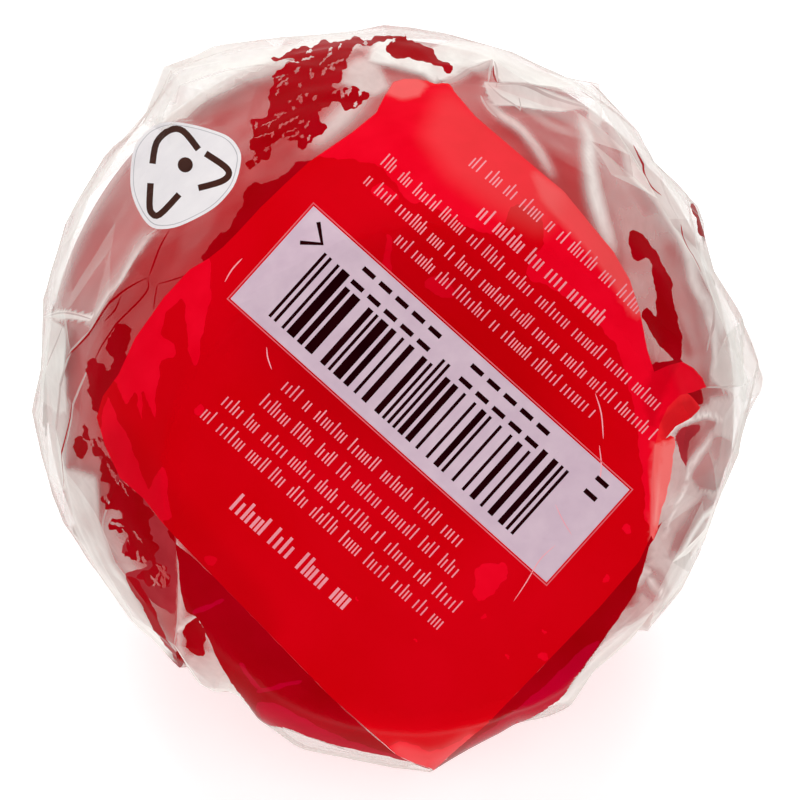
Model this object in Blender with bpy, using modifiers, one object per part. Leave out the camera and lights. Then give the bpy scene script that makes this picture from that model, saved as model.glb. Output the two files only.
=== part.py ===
"""A toffee apple on a flat stick, in a clear film wrap that is gathered and taped behind it.

It lies on its side: the wrap rests on a small flat spot and the stick's tip touches the surface
behind it, so that the flat toffee foot faces forward (-Y) and a little up.

Every piece is modelled about the apple's own axis, with +Z from the foot to the stick, and then
parented to one empty that lays the axis down.
"""

from math import acos, atan2, cos, degrees, exp, pi, radians, sin

import bmesh
import bpy
from mathutils import Matrix, Vector

# Driving dimensions, in metres. Stations are measured along the axis from the widest section,
# negative towards the foot.
FOOT_RADIUS = 0.0232
FOOT_STATION = -0.0298
WIDEST_RADIUS = 0.0338
NECK_RADIUS = 0.0063
NECK_START = 0.0405
NECK_END = 0.0500

# The wrap's half section where the film lies on the toffee, from the middle of the foot to the
# end of the gathered neck, as (radius, station).
SECTION = [
    (0.0, FOOT_STATION),
    (FOOT_RADIUS * 0.55, FOOT_STATION),
    (FOOT_RADIUS, FOOT_STATION),
    (0.0264, -0.0272),
    (0.0301, -0.0208),
    (0.0326, -0.0122),
    (WIDEST_RADIUS, -0.0020),
    (0.0335, 0.0060),
    (0.0317, 0.0140),
    (0.0281, 0.0213),
    (0.0217, 0.0280),
    (0.0139, 0.0337),
    (0.0083, 0.0376),
    (NECK_RADIUS, NECK_START),
    (NECK_RADIUS, NECK_END),
    (0.0, NECK_END),
]
WRAP_SEGMENTS = 72
RINGS_PER_SPAN = 3

# The ribs on which the film stands off the toffee, as (place around the axis in degrees, angle
# from the foot's centre in degrees, height in metres, reach along the rib in degrees). Between
# two ribs the film runs straight, unless the toffee is in its way. Places run anticlockwise
# from the right as seen from the foot.
FILM_RIBS = [
    (12, 92, 0.0011, 30),
    (52, 100, 0.0016, 34),
    (92, 104, 0.0017, 34),
    (120, 102, 0.0028, 30),
    (147, 98, 0.0018, 32),
    (188, 92, 0.0013, 36),
    (240, 80, 0.0010, 24),
    (262, 68, 0.0033, 19),
    (277, 68, 0.0030, 19),
    (301, 74, 0.0017, 22),
    (322, 80, 0.0010, 30),
    (354, 88, 0.0012, 32),
]
# Two corners of the sheet that stick out at the rim, each as (place in degrees, radius, station).
FILM_CORNERS = {
    "left": [(103, 0.0325, 0.0090), (104, 0.0346, 0.0085), (116, 0.0364, 0.0082),
             (127, 0.0374, 0.0078), (131.5, 0.0352, 0.0070), (133, 0.0325, 0.0070)],
    "right": [(24, 0.0325, 0.0010), (21, 0.0345, 0.0006), (10, 0.0356, -0.0004),
              (-1, 0.0368, -0.0014), (-3, 0.0340, -0.0016), (-4, 0.0325, -0.0016)],
}
CORNER_THICKNESS = 0.0005
# The pleats that run back to the neck.
PLEAT_COUNT = 14
PLEAT_HEIGHT = 0.0013
PLEAT_HALF_WIDTH = radians(9)
PLEAT_START = 0.0040
PLEAT_FULL = 0.0270

REST_SLOPE = radians(18.5)
REST_FLAT_DEPTH = 0.00035

STICK_WIDTH = 0.0100
STICK_THICKNESS = 0.0020
STICK_INNER_STATION = -0.0095
STICK_END_RADIUS = 0.0040
STICK_EDGE_RADIUS = 0.0004
CLEARANCE = 0.0003

TAPE_START = 0.0420
TAPE_END = 0.0484
TAPE_THICKNESS = 0.0004

SKIRT_START = NECK_END + CLEARANCE
SKIRT_END = 0.0680
SKIRT_MOUTH_RADIUS = 0.0100
SKIRT_FOLDS = 9
SKIRT_FOLD_HEIGHT = 0.0016
SKIRT_THICKNESS = 0.0004
SKIRT_SEGMENTS = 90
SKIRT_RINGS = 6


def clear_scene():
    for item in list(bpy.data.objects):
        bpy.data.objects.remove(item, do_unlink=True)


def new_collection(name):
    made = bpy.data.collections.new(name)
    bpy.context.scene.collection.children.link(made)
    return made


def new_material(name, colour, roughness, metallic=0.0, alpha=1.0):
    made = bpy.data.materials.new(name)
    made.use_nodes = True
    shader = made.node_tree.nodes["Principled BSDF"]
    shader.inputs["Base Color"].default_value = (*colour, 1.0)
    shader.inputs["Roughness"].default_value = roughness
    shader.inputs["Metallic"].default_value = metallic
    shader.inputs["Alpha"].default_value = alpha
    return made


def add_object(name, mesh, collection, material=None):
    made = bpy.data.objects.new(name, mesh)
    collection.objects.link(made)
    if material:
        mesh.materials.append(material)
    return made


def mesh_from(bm, name):
    bmesh.ops.recalc_face_normals(bm, faces=bm.faces)
    mesh = bpy.data.meshes.new(name)
    bm.to_mesh(mesh)
    bm.free()
    mesh.shade_smooth()
    mesh.set_sharp_from_angle(angle=radians(35))
    return mesh


def smooth_step(low, high, value):
    share = min(max((value - low) / (high - low), 0.0), 1.0)
    return share * share * (3 - 2 * share)


def between(before, start, end, after, share):
    """A point on the smooth curve from start to end, with the points before and after them."""
    square, cube = share**2, share**3
    return (
        start * 2
        + (end - before) * share
        + (before * 2 - start * 5 + end * 4 - after) * square
        + (start * 3 - before - end * 3 + after) * cube
    ) / 2


def section_point(along):
    """(radius, station) at a place along the section, counted in spans of SECTION.

    The foot, the neck's wall and its end are straight; the rest is one smooth curve.
    """
    span = min(int(along), len(SECTION) - 2)
    points = [Vector(point) for point in SECTION]
    start, end, share = points[span], points[span + 1], along - span
    straight = span < 2 or span >= len(SECTION) - 3
    if straight:
        return start.lerp(end, share)
    return between(points[span - 1], start, end, points[span + 2], share)


def rib_height(rib, from_foot):
    """How far a rib stands off the toffee at an angle from the foot's centre."""
    place, middle, height, reach = rib
    return height * exp(-(((from_foot - radians(middle)) / radians(reach)) ** 2))


def over_ribs(place, from_foot, radius):
    """The film's radius: straight from one rib to the next, but never inside the toffee."""
    turn = degrees(place) % 360
    ribs = sorted(FILM_RIBS)
    after = next((index for index, rib in enumerate(ribs) if rib[0] > turn), 0)
    low, high = ribs[after - 1], ribs[after]
    gap = radians((high[0] - low[0]) % 360)
    share = radians((turn - low[0]) % 360)
    start = radius + rib_height(low, from_foot)
    end = radius + rib_height(high, from_foot)
    straight = start * end * sin(gap) / (start * sin(share) + end * sin(gap - share))
    return max(radius, straight)


def at(place, radius, station):
    """The point at a place around the axis, a radius and a station."""
    return Vector((radius * cos(place), -radius * sin(place), station))


def pleat(place, station):
    """The height of the pleats that run back to the neck, each a sharp ridge with sloping sides."""
    growth = smooth_step(PLEAT_START, PLEAT_FULL, station)
    growth *= 1 - smooth_step(NECK_START - 0.006, NECK_START, station)
    height = 0.0
    for turn in range(PLEAT_COUNT):
        crest = 2 * pi * (turn + 0.22 * sin(2.4 * turn)) / PLEAT_COUNT
        apart = abs((place - crest + pi) % (2 * pi) - pi)
        height = max(height, 1 - apart / PLEAT_HALF_WIDTH)
    return PLEAT_HEIGHT * growth * height


def wrap_mesh():
    """The wrap's outer form, from a ball whose rings are moved out to the section."""
    rings = RINGS_PER_SPAN * (len(SECTION) - 1)
    bm = bmesh.new()
    bmesh.ops.create_uvsphere(bm, u_segments=WRAP_SEGMENTS, v_segments=rings, radius=1.0)
    for vertex in bm.verts:
        along = acos(min(max(-vertex.co.z, -1.0), 1.0)) / pi * (len(SECTION) - 1)
        radius, station = section_point(along)
        place = atan2(-vertex.co.y, vertex.co.x)
        if FOOT_STATION < station < NECK_START:
            radius = over_ribs(place, atan2(radius, -station), radius)
        radius += pleat(place, station)
        vertex.co = at(place, radius, station)
    return mesh_from(bm, "film_wrap")


def corner_mesh(name, outline):
    """A corner of the sheet at the rim: its outline as one face, made thick along the axis."""
    bm = bmesh.new()
    outer = [bm.verts.new(at(radians(place), radius, station)) for place, radius, station in outline]
    face = bm.faces.new(outer)
    grown = bmesh.ops.extrude_face_region(bm, geom=[face])
    raised = [item for item in grown["geom"] if isinstance(item, bmesh.types.BMVert)]
    bmesh.ops.translate(bm, verts=raised, vec=(0.0, 0.0, CORNER_THICKNESS))
    return mesh_from(bm, name)


def laid_down(mesh):
    """Where the middle goes and how it turns, so that the axis slopes down to the stick's tip
    and the middle of the flat spot lies at the origin."""
    turn = Matrix.Rotation(-(pi / 2 + REST_SLOPE), 4, "X")
    lowest = min((turn @ vertex.co for vertex in mesh.vertices), key=lambda point: point.z)
    return Matrix.Translation((0.0, -lowest.y, -lowest.z - REST_FLAT_DEPTH)) @ turn


def stick_tip_station(height):
    """Where along the axis the stick's lower face meets the surface."""
    return (height - STICK_THICKNESS / 2 * cos(REST_SLOPE)) / sin(REST_SLOPE)


def stick_outline(length, width, corner):
    """A flat bar's outline with rounded corners, as a filled curve around its middle."""
    curve = bpy.data.curves.new("stick_outline", "CURVE")
    curve.dimensions = "2D"
    curve.fill_mode = "BOTH"
    spline = curve.splines.new("POLY")
    points = []
    for across, along, first in ((1, 1, 0), (-1, 1, 90), (-1, -1, 180), (1, -1, 270)):
        for step in range(7):
            angle = radians(first + step * 15)
            points.append(
                (
                    across * (width / 2 - corner) + corner * cos(angle),
                    along * (length / 2 - corner) + corner * sin(angle),
                )
            )
    spline.points.add(len(points) - 1)
    for target, (x, y) in zip(spline.points, points):
        target.co = (x, y, 0.0, 1.0)
    spline.use_cyclic_u = True
    return curve


def stick_mesh(length):
    """The flat wooden stick, lying along local Y, from an extruded outline."""
    curve = stick_outline(length, STICK_WIDTH, STICK_END_RADIUS)
    curve.extrude = STICK_THICKNESS / 2
    guide = bpy.data.objects.new("stick_guide", curve)
    bpy.context.scene.collection.objects.link(guide)
    made = bpy.data.meshes.new_from_object(guide.evaluated_get(bpy.context.evaluated_depsgraph_get()))
    bpy.data.objects.remove(guide, do_unlink=True)
    bm = bmesh.new()
    bm.from_mesh(made)
    bmesh.ops.remove_doubles(bm, verts=bm.verts, dist=0.00001)
    bmesh.ops.dissolve_limit(bm, angle_limit=radians(1), verts=bm.verts, edges=bm.edges)
    return mesh_from(bm, "stick")


def tape_mesh():
    """The band of tape round the neck: a rectangle to be turned by a Screw modifier."""
    inner = NECK_RADIUS + CLEARANCE
    outer = inner + TAPE_THICKNESS
    bm = bmesh.new()
    corners = [(outer, TAPE_END), (outer, TAPE_START), (inner, TAPE_START), (inner, TAPE_END)]
    verts = [bm.verts.new((radius, 0.0, station)) for radius, station in corners]
    for first, second in zip(verts, verts[1:] + verts[:1]):
        bm.edges.new((first, second))
    mesh = bpy.data.meshes.new("neck_tape")
    bm.to_mesh(mesh)
    bm.free()
    return mesh


def skirt_mesh():
    """The loose film behind the tape: a grid rolled into a flared, ruffled cone, still without
    thickness."""
    bm = bmesh.new()
    bmesh.ops.create_grid(bm, x_segments=SKIRT_SEGMENTS, y_segments=SKIRT_RINGS, size=0.5)
    for vertex in bm.verts:
        place = 2 * pi * (vertex.co.x + 0.5)
        along = vertex.co.y + 0.5
        flare = along**1.25
        fold = sin(SKIRT_FOLDS * place + 0.8 * sin(2 * place)) + 0.35 * sin(4 * place + 1.0)
        radius = NECK_RADIUS + (SKIRT_MOUTH_RADIUS - NECK_RADIUS) * flare
        radius += SKIRT_FOLD_HEIGHT * fold * flare
        ragged = 0.0012 * sin(3 * place + 0.6) * along
        station = SKIRT_START + (SKIRT_END - SKIRT_START) * along + ragged
        vertex.co = (radius * cos(place), radius * sin(place), station)
    bmesh.ops.remove_doubles(bm, verts=bm.verts, dist=0.00001)
    return mesh_from(bm, "film_skirt")


def box_mesh(name, size):
    bm = bmesh.new()
    bmesh.ops.create_cube(bm, size=1.0, matrix=Matrix.Diagonal((*size, 1.0)))
    return mesh_from(bm, name)


def add_cutter(name, mesh, collection):
    """A closed shape that only guides a Boolean."""
    made = add_object(name, mesh, collection)
    made.hide_render = True
    made.display_type = "WIRE"
    return made


def combine(target, guide, operation):
    modifier = target.modifiers.new(guide.name, "BOOLEAN")
    modifier.operation = operation
    modifier.solver = "EXACT"
    modifier.object = guide


def build():
    clear_scene()
    parts = new_collection("toffee_apple")
    cutters = new_collection("cutters")

    film_look = new_material("clear_film_over_toffee", (0.60, 0.02, 0.04), 0.18)
    loose_film_look = new_material("clear_film", (0.90, 0.90, 0.90), 0.15, alpha=0.4)
    tape_look = new_material("clear_tape", (0.88, 0.86, 0.80), 0.30)
    wood_look = new_material("birch_stick", (0.76, 0.58, 0.37), 0.65)

    body = wrap_mesh()
    laid = laid_down(body)
    tip = stick_tip_station(laid.translation.z)
    stick_length = tip - STICK_INNER_STATION

    axis = bpy.data.objects.new("apple_axis", None)
    parts.objects.link(axis)
    axis.matrix_world = laid

    wrap = add_object("film_wrap", body, parts, film_look)
    wrap.parent = axis
    side = 4 * WIDEST_RADIUS
    floor = add_cutter("rest_cutter", box_mesh("rest_cutter", (side, side, side)), cutters)
    floor.location = (0.0, 0.0, -side / 2)
    combine(wrap, floor, "DIFFERENCE")
    for name, outline in FILM_CORNERS.items():
        corner = add_cutter(name + "_corner", corner_mesh(name + "_corner", outline), cutters)
        corner.parent = axis
        combine(wrap, corner, "UNION")
    slot_start = STICK_INNER_STATION - CLEARANCE
    slot_length = NECK_END + WIDEST_RADIUS - slot_start
    slot_size = (STICK_WIDTH + 2 * CLEARANCE, STICK_THICKNESS + 2 * CLEARANCE, slot_length)
    slot = add_cutter("slot_cutter", box_mesh("slot_cutter", slot_size), cutters)
    slot.location = (0.0, 0.0, slot_start + slot_length / 2)
    slot.parent = axis
    combine(wrap, slot, "DIFFERENCE")

    stick = add_object("stick", stick_mesh(stick_length), parts, wood_look)
    stick.parent = axis
    stick.rotation_euler = (pi / 2, 0.0, 0.0)
    stick.location = (0.0, 0.0, (tip + STICK_INNER_STATION) / 2)
    edge = stick.modifiers.new("rounded_edges", "BEVEL")
    edge.width = STICK_EDGE_RADIUS
    edge.segments = 1
    edge.limit_method = "ANGLE"
    edge.angle_limit = radians(50)

    tape = add_object("neck_tape", tape_mesh(), parts, tape_look)
    tape.parent = axis
    turned = tape.modifiers.new("turned", "SCREW")
    turned.angle = 2 * pi
    turned.steps = turned.render_steps = WRAP_SEGMENTS
    turned.use_merge_vertices = True
    turned.merge_threshold = 0.00001

    skirt = add_object("film_skirt", skirt_mesh(), parts, loose_film_look)
    skirt.parent = axis
    thick = skirt.modifiers.new("film_thickness", "SOLIDIFY")
    thick.thickness = SKIRT_THICKNESS
    thick.offset = 0.0


build()
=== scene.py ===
"""The looks of a toffee apple in its printed clear wrap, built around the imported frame.

The wrap is one film surface round the apple's own axis. Its outlines, creases and print are cut
into one triangulation, and each piece takes its own share of the faces, so that film, print and
the places where the film clings to the toffee meet without overlap.

Lengths are in millimetres until a mesh is made. The apple's own frame has x to the right, y up
and z along the axis from the flat foot to the stick. Places on the front are given as
(right, up) from the apple's middle, as seen along the viewing direction.
"""

from math import cos, pi, radians, sin

import bpy
import numpy as np
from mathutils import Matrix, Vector
from mathutils.bvhtree import BVHTree
from mathutils.geometry import delaunay_2d_cdt
from mathutils.kdtree import KDTree


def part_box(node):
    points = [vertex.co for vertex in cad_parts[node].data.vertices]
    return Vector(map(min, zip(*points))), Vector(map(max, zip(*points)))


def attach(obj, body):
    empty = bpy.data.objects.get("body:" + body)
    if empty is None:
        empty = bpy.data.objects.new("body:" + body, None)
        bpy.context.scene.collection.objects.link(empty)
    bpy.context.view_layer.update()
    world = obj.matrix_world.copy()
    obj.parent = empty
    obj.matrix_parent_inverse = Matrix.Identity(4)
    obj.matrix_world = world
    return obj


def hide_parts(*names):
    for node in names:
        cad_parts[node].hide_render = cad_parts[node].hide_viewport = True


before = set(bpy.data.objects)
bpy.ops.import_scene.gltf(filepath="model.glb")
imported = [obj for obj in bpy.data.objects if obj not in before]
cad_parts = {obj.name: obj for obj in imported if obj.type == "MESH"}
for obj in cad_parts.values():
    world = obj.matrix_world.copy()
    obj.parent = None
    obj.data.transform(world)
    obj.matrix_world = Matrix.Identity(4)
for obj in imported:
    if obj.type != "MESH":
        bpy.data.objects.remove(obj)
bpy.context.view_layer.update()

MM = 0.001
SEED = 11

# The apple on the surface, and how it is seen.
REST_SLOPE = radians(18.5)
VIEW_AZIMUTH = radians(-7.5)
VIEW_ELEVATION = radians(36.5)
VIEW_DISTANCE = 700.0
VIEW_WIDTH = 78.43
VIEW_AIM = (1.12, -1.32)

# The wrap's half section where the film lies on the toffee, as (radius, station).
FOOT_RADIUS = 23.2
FOOT_STATION = -29.8
NECK_RADIUS = 6.3
NECK_START = 40.5
NECK_END = 50.0
SECTION = [
    (0.0, FOOT_STATION), (FOOT_RADIUS * 0.55, FOOT_STATION), (FOOT_RADIUS, FOOT_STATION),
    (26.4, -27.2), (30.1, -20.8), (32.6, -12.2), (33.8, -2.0), (33.5, 6.0), (31.7, 14.0),
    (28.1, 21.3), (21.7, 28.0), (13.9, 33.7), (8.3, 37.6), (NECK_RADIUS, NECK_START),
    (NECK_RADIUS, NECK_END),
]
STICK_THICKNESS = 2.0
STICK_INNER_STATION = -9.5
TOFFEE_DEPTH = 0.35
TOFFEE_TOP = 35.4
TOFFEE_HOLLOW = 5.5

# The film's outline as seen from the front: straight between corners, each (turn, reach).
OUTLINE = [
    (21, 33.2), (29, 35.1), (41, 33.6), (45, 34.5), (51, 35.9), (53, 36.1), (59, 35.0), (73, 35.1),
    (89, 35.1), (111, 36.0), (118, 37.3), (127, 38.0), (128, 36.8), (132, 35.0), (137, 36.0),
    (142, 35.8), (152, 35.7), (166, 34.7), (177, 34.0), (181, 35.0), (186, 34.9), (195, 34.7),
    (198, 34.4), (211, 33.8), (223, 33.4), (234, 33.4), (236, 33.5), (240, 33.9), (242, 32.4),
    (244, 32.4), (249, 34.5), (257, 36.2), (267, 36.5), (276, 37.8), (291, 34.1), (296, 35.1),
    (299, 35.2), (307, 32.4), (315, 32.5), (317, 34.0), (321, 34.1), (334, 33.6), (346, 33.6),
    (360, 36.9), (372, 34.8),
]
RIM_REACH_FRONT = radians(18)
RIM_REACH_BACK = radians(46)

# The pleats that run back to the neck.
PLEAT_COUNT = 14
PLEAT_HEIGHT = 1.3
PLEAT_HALF_WIDTH = radians(9)
PLEAT_START = 4.0
PLEAT_FULL = 27.0

# Clinging places round the back, and painted highlights along its creases.
SPOT_RADIUS = 34.0
BACK_CLING_COUNT = 24
CLING_SLACK = 1.2  # no clinging place where the film stands further off the toffee than this
BACK_CREASE_COUNT = 34

# Streaks in the pale places, drawn out towards the outline.
STREAK_STRETCH = 0.28
STREAK_DEPTH = 0.16

# How finely the film is cut.
FRONT_STEP = 0.5
BACK_STEP = 0.85
LINE_STEP = 0.5
NECK_ANGLE = radians(158)
NECK_SEGMENTS = 240

RIGHT = np.array((1.0, 0.0, 0.0))
UP = np.array((0.0, sin(REST_SLOPE), cos(REST_SLOPE)))
AXIS = np.array((0.0, cos(REST_SLOPE), -sin(REST_SLOPE)))


def local(direction):
    """A direction in the row frame as one in the apple's own frame."""
    return np.array((direction @ RIGHT, direction @ UP, direction @ AXIS))


VIEW_BACK_ROW = np.array((
    sin(VIEW_AZIMUTH) * cos(VIEW_ELEVATION),
    -cos(VIEW_AZIMUTH) * cos(VIEW_ELEVATION),
    sin(VIEW_ELEVATION),
))
VIEW_RIGHT_ROW = np.array((cos(VIEW_AZIMUTH), sin(VIEW_AZIMUTH), 0.0))
VIEW_UP_ROW = np.cross(VIEW_BACK_ROW, VIEW_RIGHT_ROW)
VIEW_BACK, VIEW_RIGHT, VIEW_UP = (
    local(direction) for direction in (VIEW_BACK_ROW, VIEW_RIGHT_ROW, VIEW_UP_ROW)
)


def find_middle():
    """The apple's middle in the row frame, from the stick, which lies on the axis."""
    low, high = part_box("stick")
    thickness = STICK_THICKNESS * MM
    length = (high.y - low.y - thickness * sin(REST_SLOPE)) / cos(REST_SLOPE)
    return np.array((low + high) / 2) - AXIS * (STICK_INNER_STATION * MM + length / 2)


MIDDLE = find_middle()
FLOOR_GAP = 0.2


def to_row(points):
    """Points in the apple's own frame, in millimetres, as points in the row frame, in metres."""
    points = np.asarray(points)
    return MIDDLE + (points[:, :1] * RIGHT + points[:, 1:2] * UP + points[:, 2:] * AXIS) * MM


def unit(vectors):
    return vectors / np.linalg.norm(vectors, axis=-1, keepdims=True)


def ramp(low, high, values):
    """A smooth step from 0 at low to 1 at high."""
    share = np.clip((np.asarray(values, float) - low) / (high - low), 0.0, 1.0)
    return share * share * (3 - 2 * share)


# ---------------------------------------------------------------- outlines and lines


def smooth_line(points, steps, closed=False):
    """A smooth curve through the points."""
    points = np.asarray(points, float)
    count = len(points)
    made = []
    for index in range(count if closed else count - 1):
        picks = np.arange(index - 1, index + 3)
        picks = picks % count if closed else np.clip(picks, 0, count - 1)
        before, start, end, after = points[picks]
        for step in range(steps):
            t = step / steps
            made.append((
                start * 2 + (end - before) * t
                + (before * 2 - start * 5 + end * 4 - after) * t**2
                + (start * 3 - before - end * 3 + after) * t**3
            ) / 2)
    if not closed:
        made.append(points[-1])
    return np.array(made)


def divided(points, step, closed=False):
    """The same line with points no further apart than step."""
    points = np.asarray(points, float)
    following = np.roll(points, -1, axis=0) if closed else points[1:]
    made = []
    for start, end in zip(points, following):
        parts = max(int(np.ceil(np.linalg.norm(end - start) / step)), 1)
        made.extend(start + (end - start) * part / parts for part in range(parts))
    if not closed:
        made.append(points[-1])
    return np.array(made)


def ragged(outline, amount, seed, wave=2.0):
    """A closed outline with rounded corners and a seeded uneven edge."""
    line = divided(smooth_line(outline, 3, closed=True), 0.2, closed=True)
    along = np.roll(line, -1, axis=0) - np.roll(line, 1, axis=0)
    normal = unit(np.stack([along[:, 1], -along[:, 0]], axis=1) + 1e-9)
    turns = max(round(len(line) * 0.2 / wave), 3)
    rng = np.random.default_rng(seed)
    angles = 2 * pi * np.arange(len(line)) / len(line)
    shift = sum(
        np.sin(angles * round(turns * more) + rng.uniform(0, 2 * pi)) / more
        for more in (0.6, 1.0, 1.7, 2.6)
    )
    return line + normal * (amount * 0.45 * shift)[:, None]


def stroke(points, width, taper=False):
    """The outline of a line drawn with some width, narrowing to its ends if tapered."""
    points = np.asarray(points, float)
    along = np.gradient(points, axis=0)
    side = unit(np.stack([-along[:, 1], along[:, 0]], axis=1))
    share = np.linspace(-1, 1, len(points))
    half = width / 2 * (np.clip(1 - share**2, 0.02, 1) ** 0.5 if taper else np.ones(len(points)))
    return np.vstack([points + side * half[:, None], (points - side * half[:, None])[::-1]])


def blob(centre, width, height=None, turn=0.0, corners=10):
    """An ellipse as an outline."""
    height = height or width
    angles = 2 * pi * np.arange(corners) / corners
    x, y = np.cos(angles) * width / 2, np.sin(angles) * height / 2
    return np.stack([
        centre[0] + x * cos(turn) - y * sin(turn), centre[1] + x * sin(turn) + y * cos(turn)
    ], axis=1)


def inside(points, outline):
    """Which of the points lie inside a closed outline."""
    outline = np.asarray(outline)
    found = np.zeros(len(points), bool)
    near = np.all((points > outline.min(0)) & (points < outline.max(0)), axis=1)
    x, y = points[near].T
    result = np.zeros(len(x), bool)
    for (x0, y0), (x1, y1) in zip(outline, np.roll(outline, -1, axis=0)):
        if y0 != y1:
            crossed = (y0 > y) != (y1 > y)
            result ^= crossed & (x < x0 + (y - y0) * (x1 - x0) / (y1 - y0))
    found[near] = result
    return found


def off_line(points, line):
    """How far each point lies from a line, on which side of it, and how far along it (0 to 1)."""
    line = np.asarray(line, float)
    lengths = np.linalg.norm(np.diff(line, axis=0), axis=1)
    starts = np.concatenate([[0], np.cumsum(lengths)])
    best = np.full(len(points), np.inf)
    side, along = np.zeros(len(points)), np.zeros(len(points))
    for index, (start, end) in enumerate(zip(line, line[1:])):
        step = end - start
        share = np.clip((points - start) @ step / (step @ step), 0, 1)
        apart = points - start - share[:, None] * step
        distance = np.hypot(*apart.T)
        closer = distance < best
        best[closer] = distance[closer]
        cross = step[0] * apart[:, 1] - step[1] * apart[:, 0]
        side[closer] = np.sign(cross[closer])
        along[closer] = ((starts[index] + share * lengths[index]) / starts[-1])[closer]
    return best, side, along


# ---------------------------------------------------------------- the film's form


def section_tables():
    """Angle from the foot's middle, and reach from the apple's middle, along the section."""
    curve = np.vstack([
        SECTION[:2],
        smooth_line(SECTION[1:], 16)[1:],
    ])
    curve[curve[:, 1] < FOOT_STATION, 1] = FOOT_STATION
    return np.arctan2(curve[:, 0], -curve[:, 1]), np.hypot(*curve.T)


SECTION_ANGLES, SECTION_REACHES = section_tables()


def from_foot(directions):
    return np.arccos(np.clip(-directions[:, 2], -1, 1))


def section_reach(directions):
    return np.interp(from_foot(directions), SECTION_ANGLES, SECTION_REACHES)


def outline_reach(turns):
    """The outline's reach at some turns, straight from corner to corner."""
    corners = np.array(OUTLINE, float)
    angles, reaches = np.radians(corners[:, 0]), corners[:, 1]
    turns = (turns - angles[0]) % (2 * pi) + angles[0]
    after = np.clip(np.searchsorted(angles, turns, side="right"), 1, len(angles))
    low, high = after - 1, after % len(angles)
    gap = (angles[high] - angles[low]) % (2 * pi)
    share = turns - angles[low]
    start, end = reaches[low], reaches[high]
    return start * end * np.sin(gap) / (start * np.sin(share) + end * np.sin(gap - share))


def rim_lift(directions):
    """How far the film stands off the toffee towards its outline, or is drawn in with it."""
    turns = np.arctan2(directions @ VIEW_UP, directions @ VIEW_RIGHT)
    rim = np.cos(turns)[:, None] * VIEW_RIGHT + np.sin(turns)[:, None] * VIEW_UP
    lift = outline_reach(turns) - section_reach(rim)
    tilt = np.arcsin(np.clip(directions @ VIEW_BACK, -1, 1))
    reach = np.where(tilt > 0, RIM_REACH_FRONT, RIM_REACH_BACK)
    reach = np.where((lift < 0) & (tilt > 0), 1.5 * reach, reach)
    return lift * np.exp(-((tilt / reach) ** 2))


def toffee_reach(directions):
    """The toffee under the film, rounded off round the stick."""
    hollow = TOFFEE_HOLLOW * ramp(radians(150), radians(179), from_foot(directions))
    reach = np.minimum(section_reach(directions), TOFFEE_TOP - hollow)
    return reach + np.minimum(rim_lift(directions), 0) - TOFFEE_DEPTH


def pleat_crests():
    turns = np.arange(PLEAT_COUNT)
    return 2 * pi * (turns + 0.22 * np.sin(2.4 * turns)) / PLEAT_COUNT


def pleats(directions, stations):
    """The height of the pleats that run back to the neck, each a sharp ridge."""
    places = np.arctan2(directions[:, 1], directions[:, 0])
    growth = ramp(PLEAT_START, PLEAT_FULL, stations)
    growth = growth * (1 - ramp(NECK_START - 6, NECK_START, stations))
    height = np.zeros(len(directions))
    for crest in pleat_crests():
        apart = np.abs((places - crest + pi) % (2 * pi) - pi)
        height = np.maximum(height, 1 - apart / PLEAT_HALF_WIDTH)
    return PLEAT_HEIGHT * growth * height


def plain_reach(directions):
    """The film without its creases."""
    reach = section_reach(directions)
    return reach + rim_lift(directions) + pleats(directions, reach * directions[:, 2])


def to_view(points):
    """Where points in the apple's own frame show on the front."""
    spread = VIEW_DISTANCE / (VIEW_DISTANCE - points @ VIEW_BACK)
    return np.stack([points @ VIEW_RIGHT * spread, points @ VIEW_UP * spread], axis=1)


def onto_film(places):
    """The directions from the apple's middle in which places on the front lie."""
    places = np.asarray(places, float)
    eye = VIEW_BACK * VIEW_DISTANCE
    rays = unit(places[:, :1] * VIEW_RIGHT + places[:, 1:] * VIEW_UP - eye)
    nearest = -(rays @ eye)
    feet = eye + nearest[:, None] * rays
    missed = np.sum(feet**2, axis=1)
    reach = np.full(len(places), 34.0)
    for _ in range(14):
        back = np.sqrt(np.maximum(reach**2 - missed, 0.0))
        directions = unit(feet - back[:, None] * rays)
        reach = 0.5 * reach + 0.5 * plain_reach(directions)
    return directions


# ---------------------------------------------------------------- creases in the film

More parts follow.
